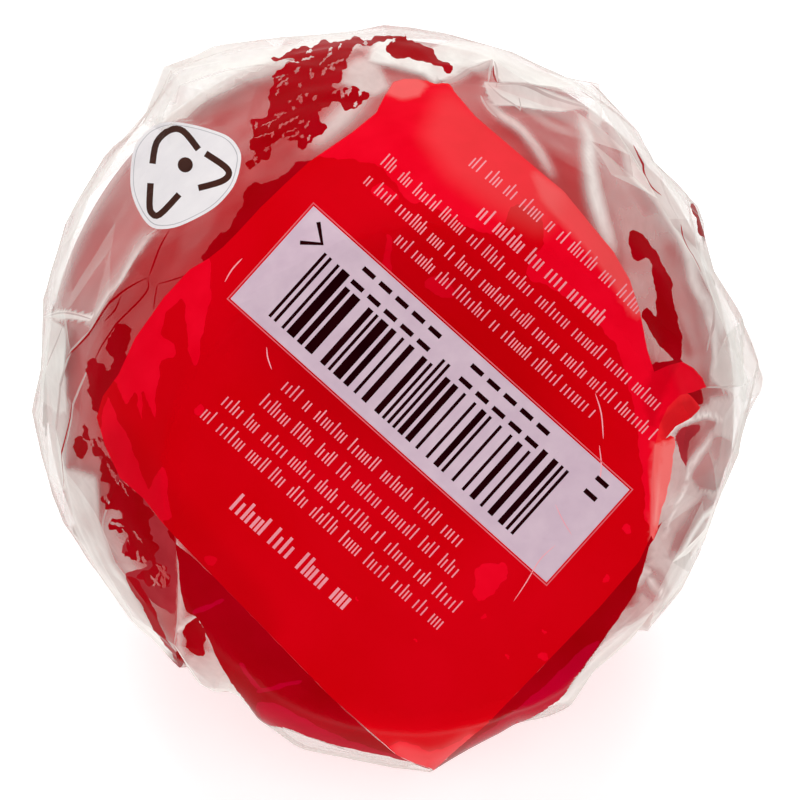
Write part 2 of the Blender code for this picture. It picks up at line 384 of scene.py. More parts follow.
# Ridges that the film stands up in, as (height, places on the front).
CREASES = [
    (0.9, [(-22.7, 15.4), (-24.6, 11.6), (-26.9, 8.1), (-29.1, 5.4)]),
    (0.8, [(-33.5, 7.0), (-31.2, 6.9), (-29.1, 6.3)]),
    (0.9, [(-29.1, 5.4), (-30.5, 3.4), (-31.6, 0.1), (-32.4, -3.8)]),
    (0.7, [(-31.6, 6.0), (-33.2, 1.4), (-33.8, -3.3), (-33.0, -8.2)]),
    (0.6, [(-23.4, 25.3), (-26.3, 22.2), (-28.8, 18.5), (-30.5, 14.4), (-32.2, 9.0)]),
    (0.9, [(5.0, 29.6), (7.8, 30.5), (10.1, 31.8)]),
    (0.9, [(10.1, 31.8), (10.7, 29.3)]),
    (0.9, [(9.7, 29.3), (13.9, 28.9), (19.7, 27.6), (20.7, 27.3)]),
    (0.7, [(9.0, 28.4), (11.1, 25.6), (14.2, 23.2), (16.3, 20.1)]),
    (0.8, [(18.1, 26.9), (19.5, 23.7), (20.3, 19.8), (21.7, 15.3), (23.2, 11.9)]),
    (1.0, [(20.7, 27.3), (23.2, 22.2), (25.8, 18.0), (29.1, 12.4), (31.0, 8.5), (31.7, 5.5)]),
    (0.9, [(24.4, 25.1), (25.3, 21.7), (27.1, 16.3)]),
    (0.7, [(-20.3, 29.3), (-16.0, 30.6), (-11.6, 31.5)]),
    (0.7, [(-20.3, 29.3), (-22.2, 25.8)]),
    (0.8, [(-18.5, -22.7), (-17.0, -25.8), (-14.1, -29.8), (-13.4, -31.7)]),
    (0.9, [(-21.0, -13.4), (-20.6, -17.0), (-20.5, -20.9), (-20.6, -24.9), (-19.7, -27.6)]),
    (0.9, [(31.1, -0.1), (34.2, 0.1), (34.9, 6.0)]),
    (0.8, [(26.1, -5.7), (25.8, -10.1), (26.2, -14.1)]),
    (0.9, [(26.2, -14.1), (27.4, -17.0), (25.6, -20.9), (23.7, -24.9)]),
    (0.8, [(27.4, -17.0), (30.5, -15.5), (31.7, -11.1), (31.1, -6.2)]),
    (0.9, [(23.7, -11.1), (27.8, -10.1), (32.0, -7.4)]),
    (0.8, [(19.7, -26.3), (23.7, -22.9), (26.6, -20.9)]),
    (0.7, [(-28.6, -3.3), (-31.2, -8.2), (-31.6, -13.1), (-29.1, -17.5)]),
    (0.7, [(-26.3, -9.2), (-27.8, -13.1), (-26.3, -17.0), (-23.4, -21.4)]),
]

# The red printed square on the front, with its folded corners.
LABEL_OUTLINE = [
        (-17.6, 12.5), (-16.2, 13.6), (-14.8, 15.0), (-12.5, 17.5), (-10.1, 19.8),
        (-7.7, 22.0), (-5.5, 23.5), (-3.5, 24.9), (-1.2, 26.8), (-0.4, 28.4), (0.5, 29.9),
        (1.5, 30.2), (2.7, 30.2), (3.5, 30.0), (4.3, 29.5), (5.6, 29.6), (6.3, 29.1),
        (8.5, 26.5), (11.9, 23.6), (14.9, 21.0), (17.2, 19.1), (20.1, 15.6), (22.1, 13.2),
        (23.7, 10.4), (24.7, 7.3), (25.4, 3.6), (26.1, 1.4), (27.4, 2.0), (28.8, 2.4),
        (29.9, 1.8), (30.8, 0.8), (31.2, -0.1), (29.9, -0.6), (28.6, -0.9), (27.4, -2.1),
        (26.6, -3.8), (26.1, -6.2), (26.0, -10.1), (26.3, -13.6), (24.6, -17.2), (20.7, -21.7),
        (15.3, -27.3), (9.9, -32.9), (6.5, -35.8), (4.5, -37.6), (2.6, -37.0), (0.9, -36.2),
        (-5.7, -30.4), (-12.4, -23.5), (-17.0, -18.8), (-20.6, -15.1), (-22.4, -13.1),
        (-23.9, -11.1), (-26.3, -9.0), (-27.7, -6.0), (-28.6, -3.1), (-28.0, -1.0),
        (-26.4, 1.2), (-24.8, 4.7), (-22.0, 8.7), (-19.5, 11.4),
    ]


def golden_sphere(count):
    """Directions spread evenly over a sphere."""
    index = np.arange(count) + 0.5
    height = 1 - 2 * index / count
    turn = pi * (1 + 5**0.5) * index
    round_ = np.sqrt(1 - height**2)
    return np.stack([round_ * np.cos(turn), round_ * np.sin(turn), height], axis=1)


def flat(directions):
    """Directions laid on a plane so that small shapes keep their form."""
    return directions[:, :2] / (1 - directions[:, 2:])


def unflat(places):
    """The directions that places on that plane stand for."""
    square = np.sum(places**2, axis=1, keepdims=True)
    return np.hstack([2 * places, square - 1]) / (1 + square)


def triangulate(directions, edges):
    """Triangles over directions that keep the given edges: (directions, triangles, sources)."""
    places = [Vector(place) for place in flat(directions)]
    verts, _, faces, sources, _, _ = delaunay_2d_cdt(places, edges, [], 0, 1e-6)
    made = unflat(np.array([tuple(vert) for vert in verts]))
    return made, np.array([tuple(face) for face in faces]), sources


def spread_nodes(fixed):
    """Seeded nodes of the film's facets, away from the fixed ones, and their heights."""
    rng = np.random.default_rng(SEED)
    nodes = golden_sphere(760)
    nodes = unit(nodes + rng.normal(0, 0.035, nodes.shape))
    nodes = nodes[from_foot(nodes) < NECK_ANGLE + 0.25]
    tree = KDTree(len(fixed))
    for index, node in enumerate(fixed):
        tree.insert(Vector(node), index)
    tree.balance()
    free = [tree.find(Vector(node))[2] > 0.075 for node in nodes]
    nodes = nodes[np.array(free)]
    heights = 0.6 * rng.random(len(nodes)) ** 1.6
    heights *= ramp(radians(38), radians(62), from_foot(nodes))
    quiet = ramp(0.0, 0.7, nodes @ VIEW_UP - nodes @ VIEW_RIGHT) * ramp(-0.2, 0.1, nodes @ VIEW_BACK)
    return nodes, heights * (1 - 0.7 * quiet) * np.where(nodes @ VIEW_BACK < -0.1, 1.5, 1.0)


def facets():
    """The film's flat facets: (nodes' directions, nodes' reaches, triangles)."""
    lines = [onto_film(places) for _, places in CREASES]
    fixed = np.vstack(lines)
    raised = np.concatenate([
        height * 0.75 * np.clip(np.sin(np.linspace(0.25, pi - 0.25, len(line))) * 1.6, 0, 1)
        for (height, _), line in zip(CREASES, lines)
    ])
    edges, start = [], 0
    for line in lines:
        edges += [(start + i, start + i + 1) for i in range(len(line) - 1)]
        start += len(line)
    nodes, heights = spread_nodes(fixed)
    directions = np.vstack([fixed, nodes])
    heights = np.concatenate([raised, heights])
    made, faces, sources = triangulate(directions, edges)
    height = np.array([heights[min(source)] if source else 0.5 for source in sources])
    return made, plain_reach(made) + height, faces


FACET_NODES, FACET_REACHES, FACET_FACES = facets()
FACET_POINTS = FACET_NODES * FACET_REACHES[:, None]
FACET_TREE = BVHTree.FromPolygons(
    [tuple(point) for point in FACET_POINTS], [tuple(int(i) for i in f) for f in FACET_FACES]
)


def facet_reach(directions):
    origin = Vector()
    found = [FACET_TREE.ray_cast(origin, Vector(direction))[3] for direction in directions]
    return np.array([np.nan if reach is None else reach for reach in found])


def ripples(points, waves, count, seed):
    """Seeded smooth unevenness in space, about -1 to 1, of the given wavelengths."""
    rng = np.random.default_rng(seed)
    total = np.zeros(len(points))
    for _ in range(count):
        heading = unit(rng.normal(size=3))
        wave = rng.uniform(*waves)
        total += np.sin(points @ heading * (2 * pi / wave) + rng.uniform(0, 2 * pi))
    return total / count**0.5


def floor_reach(directions):
    """How far the film may reach before it meets the surface that it rests on."""
    fall = directions[:, 2] * sin(REST_SLOPE) - directions[:, 1] * cos(REST_SLOPE)
    return (MIDDLE[2] / MM - FLOOR_GAP) / np.maximum(fall, 0.1)


def film_reach(directions):
    """The film with its facets, creases and fine unevenness."""
    plain = plain_reach(directions)
    faceted = facet_reach(directions)
    faceted = np.where(np.isnan(faceted), plain, faceted)
    seen = to_view(directions * plain[:, None])
    front = directions @ VIEW_BACK > 0
    outside = np.full(len(seen), 99.0)
    for calm in (LABEL_OUTLINE, CLINGS[5][1], CLINGS[6][1]):
        distance = off_line(seen, np.array([*calm, calm[0]]))[0]
        outside = np.minimum(outside, np.where(inside(seen, calm) & front, 0.0, distance))
    patch = smooth_line(PATCH_CORNERS, 3, closed=True)
    off_patch = off_line(seen, np.vstack([patch, patch[:1]]))[0]
    outside *= np.where(inside(seen, patch) & front, 0.0, ramp(0.0, 1.5, off_patch))
    share = ramp(0.0, 2.5, outside) * (1 - ramp(radians(146), NECK_ANGLE, from_foot(directions)))
    share = np.where(front, share, 1 - ramp(radians(146), NECK_ANGLE, from_foot(directions)))
    reach = plain + (faceted - plain) * share
    points = directions * plain[:, None]
    uneven = 0.035 * ripples(points, (2.5, 6.0), 12, SEED + 1) * share
    uneven += 0.05 * ripples(points, (9.0, 20.0), 8, SEED + 2) * ramp(
        radians(36), radians(60), from_foot(directions)
    )
    reach = np.maximum(reach + uneven, toffee_reach(directions) + 0.2)
    return np.minimum(reach, floor_reach(directions))


# ---------------------------------------------------------------- print and clinging places

# The print is laid out along its own bar panel: u along it, v across it.
LABEL_MIDDLE = np.array((4.11, -0.81))
LABEL_TURN = radians(-41.9)
PANEL_SIZE = (41.6, 12.2)
KEYLINE_GAP = 0.15
KEYLINE_WIDTH = 0.12
MODULE = 0.339
BARS_START = -16.95
BARS_FOOT = -4.85
BARS_TOP = 2.35
GUARD_TOP = 3.45
MARK_ROW = (2.9, 5.1)

# Rows of small print: (v, first u, last u, height, stroke width).
TEXT_ROWS = [
    (-20.5, -7.2, 7.8, 2.0, 0.32), (-16.0, -15.3, 15.8, 1.5, 0.15),
    (-13.7, -14.6, 16.0, 1.5, 0.15), (-11.2, -11.8, 13.5, 1.5, 0.15),
    (-8.7, -11.2, 12.0, 1.5, 0.15), (9.4, -12.6, 13.5, 1.4, 0.14),
    (11.7, -18.7, 19.2, 1.4, 0.14), (14.2, -18.7, 17.8, 1.4, 0.14),
    (16.8, -8.3, 8.5, 1.7, 0.2), (20.3, -12.2, 10.2, 1.5, 0.15),
]

PATCH_CORNERS = [
        (-25.3, 21.0), (-25.0, 23.2), (-24.2, 24.5), (-23.3, 25.3), (-22.1, 25.8),
        (-20.9, 25.9), (-19.0, 25.6), (-17.0, 25.0), (-15.6, 24.4), (-14.7, 23.4),
        (-14.4, 22.2), (-14.9, 20.0), (-15.9, 18.5), (-17.2, 17.3), (-19.2, 16.2),
        (-21.0, 15.5), (-22.7, 15.4), (-23.7, 16.0), (-24.6, 17.4), (-25.2, 19.1),
    ]
PATCH_BARS = [
    [(-23.1, 21.8), (-22.7, 23.9), (-21.4, 25.1), (-20.1, 25.0), (-18.6, 23.2)],
    [(-17.9, 22.8), (-16.0, 21.5), (-15.6, 20.7), (-16.4, 20.0), (-18.6, 19.4)],
    [(-20.5, 18.8), (-22.4, 16.8), (-23.2, 17.0), (-23.4, 17.9), (-23.3, 19.9)],
]
PATCH_BAR_WIDTH = 0.64
PATCH_DOT = [(-19.9, 21.7)]

# Where the film clings to the toffee, each (unevenness, outline).
CLINGS = [
    (0.25, [
        (-13.7, 21.3), (-13.6, 22.4), (-13.1, 23.2), (-13.6, 23.6), (-13.3, 24.6),
        (-13.4, 25.7), (-11.7, 27.1), (-11.6, 29.5), (-10.6, 31.0), (-10.0, 31.8),
        (-11.3, 32.1), (-8.8, 33.2), (-7.1, 33.7), (-5.0, 33.9), (-2.3, 34.2), (1.5, 34.5),
        (1.0, 34.1), (-2.7, 33.4), (-4.1, 32.3), (-4.0, 31.4), (-4.6, 30.3), (-5.3, 29.4),
        (-4.4, 29.1), (-2.7, 29.2), (-2.0, 28.8), (-2.6, 27.8), (-3.2, 27.1), (-4.1, 27.3),
        (-5.0, 27.8), (-6.0, 27.4), (-6.9, 26.8), (-6.2, 25.7), (-6.6, 24.7), (-7.4, 24.0),
        (-8.1, 23.4), (-8.8, 23.6), (-9.4, 24.0), (-10.3, 24.4), (-11.1, 24.0), (-11.4, 23.2),
        (-12.2, 22.3), (-12.8, 21.7),
    ]),
    (0.12, [
        (-7.5, 21.9), (-8.1, 22.1), (-8.9, 21.9), (-10.1, 20.9), (-11.3, 20.1), (-12.2, 20.0),
        (-13.0, 20.0), (-13.9, 19.3), (-14.3, 18.4), (-14.3, 17.5), (-15.1, 16.6),
        (-15.8, 15.2), (-17.0, 14.6), (-17.7, 13.4), (-18.2, 12.2), (-15.5, 12.2),
        (-8.7, 19.3),
    ]),
    (0.2, [
        (-25.6, 6.3), (-25.3, 5.2), (-25.4, 4.0), (-25.7, 2.5), (-26.3, 0.6), (-27.7, -1.3),
        (-28.0, -2.8), (-29.1, -2.1), (-29.2, -1.1), (-29.3, -0.1), (-29.6, 1.0), (-29.5, 1.9),
        (-28.7, 2.8), (-28.0, 2.2), (-27.7, 1.5), (-27.3, 1.6), (-27.1, 2.5), (-27.3, 3.3),
        (-27.6, 4.4), (-27.1, 5.0), (-26.2, 6.0),
    ]),
    (0.08, [
        (23.5, 15.0), (24.1, 15.2), (24.9, 14.8), (26.0, 13.5), (26.9, 11.7), (27.7, 10.0),
        (28.0, 8.0), (28.6, 6.0), (28.9, 3.6), (28.5, 2.4), (27.4, 3.4), (26.1, 5.0),
        (24.9, 6.7), (25.4, 7.7), (26.3, 6.9), (26.3, 8.5), (25.9, 10.4), (25.6, 11.9),
        (25.1, 12.6), (24.5, 12.2), (23.8, 12.7),
    ]),
    (0.35, [
        (-29.7, -3.8), (-28.7, -5.2), (-27.5, -5.8), (-26.1, -9.4), (-23.7, -11.4),
        (-23.2, -14.1), (-22.4, -17.0), (-21.5, -18.5), (-21.3, -19.8), (-22.2, -19.2),
        (-23.2, -19.8), (-24.2, -18.7), (-23.4, -17.6), (-24.5, -17.0), (-25.9, -16.2),
        (-25.2, -15.0), (-27.1, -13.9), (-26.3, -12.6), (-27.9, -11.1), (-27.4, -9.6),
        (-28.5, -8.2), (-28.1, -7.0), (-29.5, -5.8),
    ]),
    (0.03, [
        (-21.4, -14.9), (-17.0, -18.8), (-5.7, -30.4), (1.1, -36.3), (4.5, -37.6),
        (0.1, -36.3), (-6.1, -34.9), (-10.1, -33.5), (-12.3, -33.0), (-14.1, -30.7),
        (-16.3, -27.6), (-18.1, -23.7), (-18.9, -22.6), (-19.7, -22.1), (-20.3, -20.3),
        (-20.6, -17.2), (-21.1, -14.1),
    ]),
    (0.04, [
        (4.5, -37.6), (6.5, -35.8), (15.3, -27.3), (26.3, -13.8), (25.6, -15.8), (24.5, -19.4),
        (23.3, -21.7), (18.5, -28.4), (16.3, -31.1), (10.9, -34.2),
    ]),
    (0.15, [
        (25.6, 1.6), (26.8, 2.4), (28.8, 2.4), (27.6, -0.5), (27.0, -3.8), (26.1, -5.2),
        (25.6, -2.3),
    ]),
    (0.15, [
        (-0.3, 33.5), (1.6, 34.2), (3.9, 33.3), (5.0, 32.2), (6.2, 31.2), (5.7, 30.6),
        (4.3, 31.7), (2.1, 32.2), (0.3, 32.5),
    ]),
    (0.1, [(29.5, 17.8), (30.2, 17.1), (31.0, 14.1), (30.3, 14.6), (29.7, 16.1)]),
    (0.15, [
        (-19.5, -23.1), (-18.6, -22.7), (-17.9, -24.9), (-18.1, -26.3), (-19.3, -25.6),
        (-19.9, -24.3),
    ]),
    (0.05, [(28.9, -0.6), (30.4, -0.1), (30.9, -1.6), (30.0, -1.8), (29.4, -1.3)]),
    (0.06, [
        (-25.5, -18.5), (-24.6, -18.8), (-23.4, -20.7), (-22.1, -23.1), (-20.8, -26.0),
        (-20.1, -27.6), (-21.2, -26.3), (-22.6, -24.1), (-24.1, -21.5), (-25.2, -19.8),
    ]),
    (0.06, [
        (-26.4, -9.2), (-25.4, -10.1), (-24.0, -11.1), (-24.1, -13.5), (-24.8, -12.7),
        (-25.6, -10.9),
    ]),
    (0.12, [(-30.6, -5.2), (-29.9, -4.9), (-29.5, -5.8), (-29.9, -7.0), (-30.6, -6.8)]),
]
# Where the film lies so close to the toffee that it is nearly clinging.
NEAR = [
    [
        (28.3, -5.3), (28.8, -4.5), (29.5, -3.9), (30.4, -3.7), (30.1, -4.7), (29.5, -6.0),
        (29.3, -8.0), (28.7, -6.9),
    ],
    [
        (-28.5, -5.2), (-26.3, -9.0), (-23.9, -11.1), (-22.4, -13.1), (-21.0, -13.7),
        (-20.8, -17.0), (-20.7, -20.9), (-21.2, -22.1), (-23.4, -20.7), (-24.7, -19.5),
        (-25.5, -18.2), (-23.4, -17.6), (-24.5, -17.0), (-25.9, -16.2), (-25.5, -14.1),
        (-26.5, -11.6), (-27.9, -8.2),
    ],
]
# Brighter folds inside the clinging places.
BRIGHT_CLINGS = [
    [
        (-19.1, -22.0), (-17.9, -21.5), (-16.3, -20.9), (-16.2, -21.2), (-17.7, -21.9),
        (-18.9, -22.4),
    ],
    [
        (-14.3, -27.2), (-13.4, -28.4), (-12.4, -29.8), (-12.7, -29.9), (-13.7, -28.7),
        (-14.6, -27.4),
    ],
    [
        (-12.8, -29.8), (-11.0, -29.3), (-8.7, -28.8), (-8.7, -29.1), (-10.8, -29.7),
        (-12.6, -30.1),
    ],
    [
        (-12.8, -31.0), (-10.6, -31.3), (-7.7, -32.9), (-4.3, -34.5), (1.1, -36.3),
        (4.5, -37.6), (0.1, -36.3), (-6.1, -34.9), (-10.1, -33.5), (-12.3, -33.0),
    ],
    [
        (20.7, -25.0), (18.5, -28.4), (16.3, -31.1), (10.9, -34.2), (7.2, -35.8),
        (10.9, -32.9), (15.3, -29.4), (18.8, -26.0),
    ],
]
# Folded edges of the print under loose film.
FOLDS = [
    [
        (26.1, -6.0), (26.8, -5.4), (28.2, -5.0), (27.6, -8.2), (27.0, -11.1), (26.4, -13.9),
        (26.0, -15.2), (25.7, -13.1), (25.8, -9.2),
    ],
    [
        (27.0, -1.6), (28.4, -0.3), (29.2, -0.6), (30.2, -1.6), (30.5, -2.2), (29.5, -3.2),
        (28.7, -4.0), (27.4, -5.0), (26.2, -6.1), (26.5, -3.8),
    ],
    [
        (3.5, 30.0), (4.6, 29.7), (5.8, 29.7), (6.5, 28.9), (7.2, 27.9), (6.5, 28.3),
        (5.6, 28.9), (4.5, 29.3),
    ],
]
# Slivers where the film has let go inside those places: (cling, count, length, width, turn).
LET_GO = [
    (0, 46, 0.9, 0.24, radians(60)),
    (0, 16, 2.2, 0.15, radians(25)),
    (4, 20, 2.4, 0.26, radians(-62)),
]
# Where the printed film stands off the toffee and looks brighter, each (unevenness, outline).
LIFTED = [
    (0.12, [
        (-11.6, 20.2), (-10.3, 21.7), (-8.7, 22.2), (-6.2, 22.4), (-3.3, 22.1), (-1.3, 21.7),
        (0.3, 20.4), (1.1, 19.1), (2.3, 18.0), (4.1, 17.7), (6.2, 16.5), (8.0, 15.4),
        (10.1, 15.0), (11.2, 15.7), (12.1, 17.5), (13.6, 17.6), (14.9, 16.7), (15.3, 14.6),
        (14.6, 12.9), (13.5, 11.4), (14.1, 10.4), (16.4, 9.4), (18.8, 7.7), (20.9, 5.7),
        (22.5, 3.6), (23.4, 0.8), (24.1, -2.3), (24.6, -6.2), (25.1, -10.1), (25.6, -14.1),
        (29.5, -15.0), (32.5, 0.6), (24.6, 15.3), (6.0, 32.0), (-0.8, 32.0), (-9.7, 24.2),
    ]),
    (0.08, [
        (-18.3, 13.2), (-17.5, 12.3), (-17.4, 10.7), (-17.4, 8.5), (-17.8, 6.9), (-18.3, 4.5),
        (-18.6, 2.4), (-19.0, 2.0), (-19.3, 2.5), (-19.6, 4.1), (-19.8, 6.3), (-20.0, 8.1),
        (-20.3, 8.6), (-20.8, 8.1), (-21.7, 7.2), (-22.1, 6.1), (-22.2, 5.0), (-21.7, 4.6),
        (-21.1, 4.1), (-20.7, 3.3), (-21.1, 2.8), (-21.8, 2.7), (-22.3, 2.1), (-22.5, 0.5),
        (-22.8, -1.2), (-22.8, -3.3), (-23.2, -2.3), (-23.7, -1.2), (-24.1, -0.7),
        (-24.1, -3.3), (-24.4, -2.4), (-24.6, -1.0), (-24.9, -0.7), (-25.4, -1.5),
        (-25.7, -1.7), (-26.2, -1.0), (-26.5, 0.2), (-27.3, 2.1), (-22.4, 9.5),
    ]),
    (0.08, [
        (-28.3, -5.2), (-27.5, -1.1), (-26.7, -2.9), (-25.4, -5.2), (-24.3, -8.2),
        (-22.4, -12.6), (-21.2, -15.5), (-21.6, -18.5), (-24.4, -15.0), (-27.3, -10.1),
    ]),
    (0.15, [
        (8.7, -17.9), (10.2, -17.3), (11.4, -17.5), (11.7, -18.8), (10.5, -19.9),
        (10.0, -20.7), (9.0, -21.1), (8.5, -20.5), (8.4, -19.5),
    ]),
    (0.1, [
        (0.6, -34.9), (2.5, -35.2), (4.0, -35.7), (5.5, -35.5), (8.0, -34.2), (9.0, -35.1),
        (4.5, -39.6), (-0.8, -37.6),
    ]),
    (0.1, [
        (-0.1, 14.8), (0.5, 14.0), (0.2, 12.2), (0.5, 10.4), (-0.1, 9.5), (-0.5, 11.4),
        (-0.3, 13.2),
    ]),
    (0.1, [(3.6, 10.2), (4.8, 10.8), (6.5, 9.6), (6.2, 8.7), (4.6, 8.9)]),
    (0.08, [(-1.6, 19.1), (-0.8, 19.9), (0.4, 19.3), (1.0, 18.3), (-0.1, 18.5), (-1.0, 18.4)]),
    (0.02, [(25.4, -6.4), (26.2, -5.2), (26.6, -14.1), (25.8, -15.5), (25.6, -11.1)]),
    (0.05, [
        (-22.2, -7.9), (-21.6, -9.2), (-21.6, -11.1), (-21.2, -12.9), (-22.4, -13.1),
        (-23.4, -12.1), (-23.8, -10.9), (-23.2, -9.7),
    ]),
]
LIFTED_SPOTS = [
    ([(-17.4, -17.1)], 1.1), ([(15.2, -26.5)], 0.9), ([(23.4, -14.0)], 0.9), ([(11.7, -26.5)], 0.4), ([(21.4, -18.9)], 0.7),
    ([(9.4, -22.6)], 0.5), ([(-18.5, -2.4)], 1.0), ([(15.3, -24.1)], 0.4), ([(2.7, -24.9)], 0.3), ([(-3.1, -20.9)], 0.3),
]
# Fine scratches: (width, places).
SCRATCHES = [
    (0.14, [(-16.0, 10.2), (-15.3, 11.4), (-14.3, 12.5)]),
    (0.12, [(-11.9, 3.8), (-11.8, 2.8), (-11.4, 1.6)]),
    (0.12, [(20.3, -0.7), (20.9, -2.7), (21.1, -5.2)]),
    (0.12, [(20.7, -5.8), (20.9, -7.8), (20.7, -9.7)]),
    (0.099, [(12.3, -21.1), (13.5, -19.3), (14.9, -17.0), (16.4, -15.6)]),
    (0.087, [(16.4, -11.6), (17.1, -13.1), (18.0, -14.6)]),
]
# Painted highlights: sharp white lines along hard creases in the film: (width, places).
CREASE_HIGHLIGHTS = [
    (0.26, [(-29.1, 5.4), (-28.2, 6.8), (-27.1, 8.5), (-25.9, 10.0)]),
    (0.18, [(-33.8, 6.7), (-32.2, 7.1), (-30.5, 7.0), (-28.9, 6.5)]),
    (0.2, [(-29.1, 5.4), (-30.5, 3.4), (-31.4, 0.8), (-32.0, -1.8), (-32.4, -5.2)]),
    (0.16, [(-28.7, 2.8), (-29.9, 0.6), (-30.8, -2.3), (-31.4, -5.7)]),
    (0.2, [(5.0, 29.6), (6.2, 30.0), (8.2, 30.8), (10.1, 31.8)]),
    (0.24, [(10.1, 31.8), (9.9, 30.8), (9.7, 29.5)]),
    (0.2, [(10.3, 31.6), (10.6, 30.4), (10.5, 29.1)]),
    (0.16, [(9.7, 29.4), (10.9, 28.3), (12.1, 27.5), (12.9, 26.8)]),
    (0.14, [(12.8, 28.3), (12.9, 27.5), (12.8, 26.7)]),
    (0.2, [(10.5, 29.4), (12.9, 29.1), (15.3, 28.2), (17.8, 27.4), (19.5, 27.0)]),
    (0.2, [(9.0, 28.4), (9.6, 27.3), (10.6, 26.2)]),
    (0.2, [(20.8, 27.3), (21.3, 26.1), (22.5, 23.9), (23.9, 21.2)]),
    (0.16, [(24.4, 25.0), (25.6, 22.2), (26.9, 19.3), (28.2, 16.3)]),
    (0.2, [(31.1, 8.5), (31.6, 6.0), (31.2, 3.4)]),
    (0.22, [(-18.5, -22.7), (-17.7, -24.5), (-16.7, -26.3), (-15.0, -28.8)]),
    (0.18, [(-21.0, -13.4), (-20.6, -16.6), (-20.5, -20.9), (-20.6, -24.9)]),
    (0.18, [(-20.6, -24.9), (-20.1, -26.4), (-19.3, -28.0)]),
    (0.2, [(31.2, -0.1), (32.7, -0.1), (34.2, 0.1)]),
    (0.18, [(20.7, -24.9), (23.1, -23.1), (25.2, -20.9)]),
    (0.16, [(-20.3, 29.3), (-21.4, 27.9), (-22.1, 25.9)]),
    (0.16, [(-20.3, 29.3), (-17.5, 30.1), (-14.6, 30.8), (-11.6, 31.4)]),
    (0.14, [(-31.8, 5.9), (-32.6, 3.6), (-33.4, 0.8)]),
    (0.14, [(-26.3, -9.2), (-27.3, -11.6), (-27.5, -14.1), (-26.1, -16.6)]),
]
# Painted highlights along the film's ridges, as soft pale bands of milkiness: (strength, half width, sharp
# side or 0, places).
HIGHLIGHT_BANDS = [
    (0.50, 1.2, 0, [
        (-25.2, 25.3), (-27.5, 22.6), (-29.4, 19.6), (-30.7, 16.7), (-31.7, 13.9),
        (-32.5, 11.0), (-33.1, 8.0),
    ]),
    (0.55, 0.7, 1, [(-22.4, 15.4), (-24.2, 12.9), (-25.6, 10.4), (-27.2, 8.5), (-28.6, 6.5), (-29.3, 5.3)]),
    (0.25, 1.3, 1, [(-22.6, 15.2), (-24.6, 12.6), (-26.1, 10.2), (-27.7, 8.1), (-29.1, 6.3)]),
    (0.52, 0.4, 0, [(9.1, 28.4), (10.9, 26.5), (12.9, 25.0), (14.8, 22.7), (16.3, 20.4)]),
    (0.72, 0.7, 0, [(18.7, 26.7), (19.4, 24.2), (19.5, 21.7), (20.1, 18.8), (21.1, 15.8), (22.5, 12.6)]),
    (0.62, 0.45, 0, [
        (20.7, 27.1), (21.4, 25.4), (22.9, 22.5), (24.6, 19.6), (26.9, 16.6), (28.6, 13.7),
        (29.5, 10.4), (31.2, 7.2), (32.1, 4.3), (32.2, 0.8),
    ]),
    (0.50, 1.1, 0, [(-1.2, 31.4), (-2.1, 29.7), (-3.6, 27.5), (-5.5, 25.4), (-7.9, 23.5)]),
    (0.50, 0.6, 0, [(5.0, 29.9), (7.0, 30.5), (8.8, 31.2), (10.1, 31.8)]),
    (0.40, 0.6, -1, [(-20.8, -14.1), (-20.5, -17.5), (-20.4, -21.9), (-20.3, -25.3), (-19.5, -27.6)]),
    (0.35, 0.8, 1, [(-17.9, -23.4), (-16.5, -26.3), (-14.1, -29.6), (-12.8, -31.5)]),
    (0.30, 1.0, 0, [(-26.3, -11.1), (-27.1, -14.1), (-25.5, -17.2), (-23.4, -20.9)]),
    (0.80, 0.36, 0, [(27.2, -6.0), (28.0, -4.5), (29.2, -3.5), (30.7, -2.9), (32.1, -3.0), (33.3, -3.9)]),
    (0.72, 0.36, 0, [
        (32.1, -3.9), (31.4, -5.2), (30.4, -6.6), (29.6, -8.2), (29.1, -10.1), (28.4, -12.3),
        (27.3, -14.6), (26.2, -16.2),
    ]),
    (0.80, 0.3, 0, [
        (33.6, -8.4), (32.7, -10.3), (31.3, -12.3), (29.7, -14.6), (28.2, -16.6),
        (26.6, -17.8),
    ]),
    (0.70, 0.24, 0, [(25.3, -17.2), (27.0, -17.0), (29.5, -15.8), (31.7, -13.3)]),
    (0.75, 0.26, 0, [(25.3, -17.2), (25.7, -18.8), (27.0, -20.7)]),
    (0.70, 0.28, 0, [(25.3, -17.2), (23.9, -20.0), (22.3, -22.1)]),
    (0.65, 0.4, 0, [(30.5, 8.5), (31.7, 5.5), (32.1, 2.6), (31.7, 0.1)]),
]
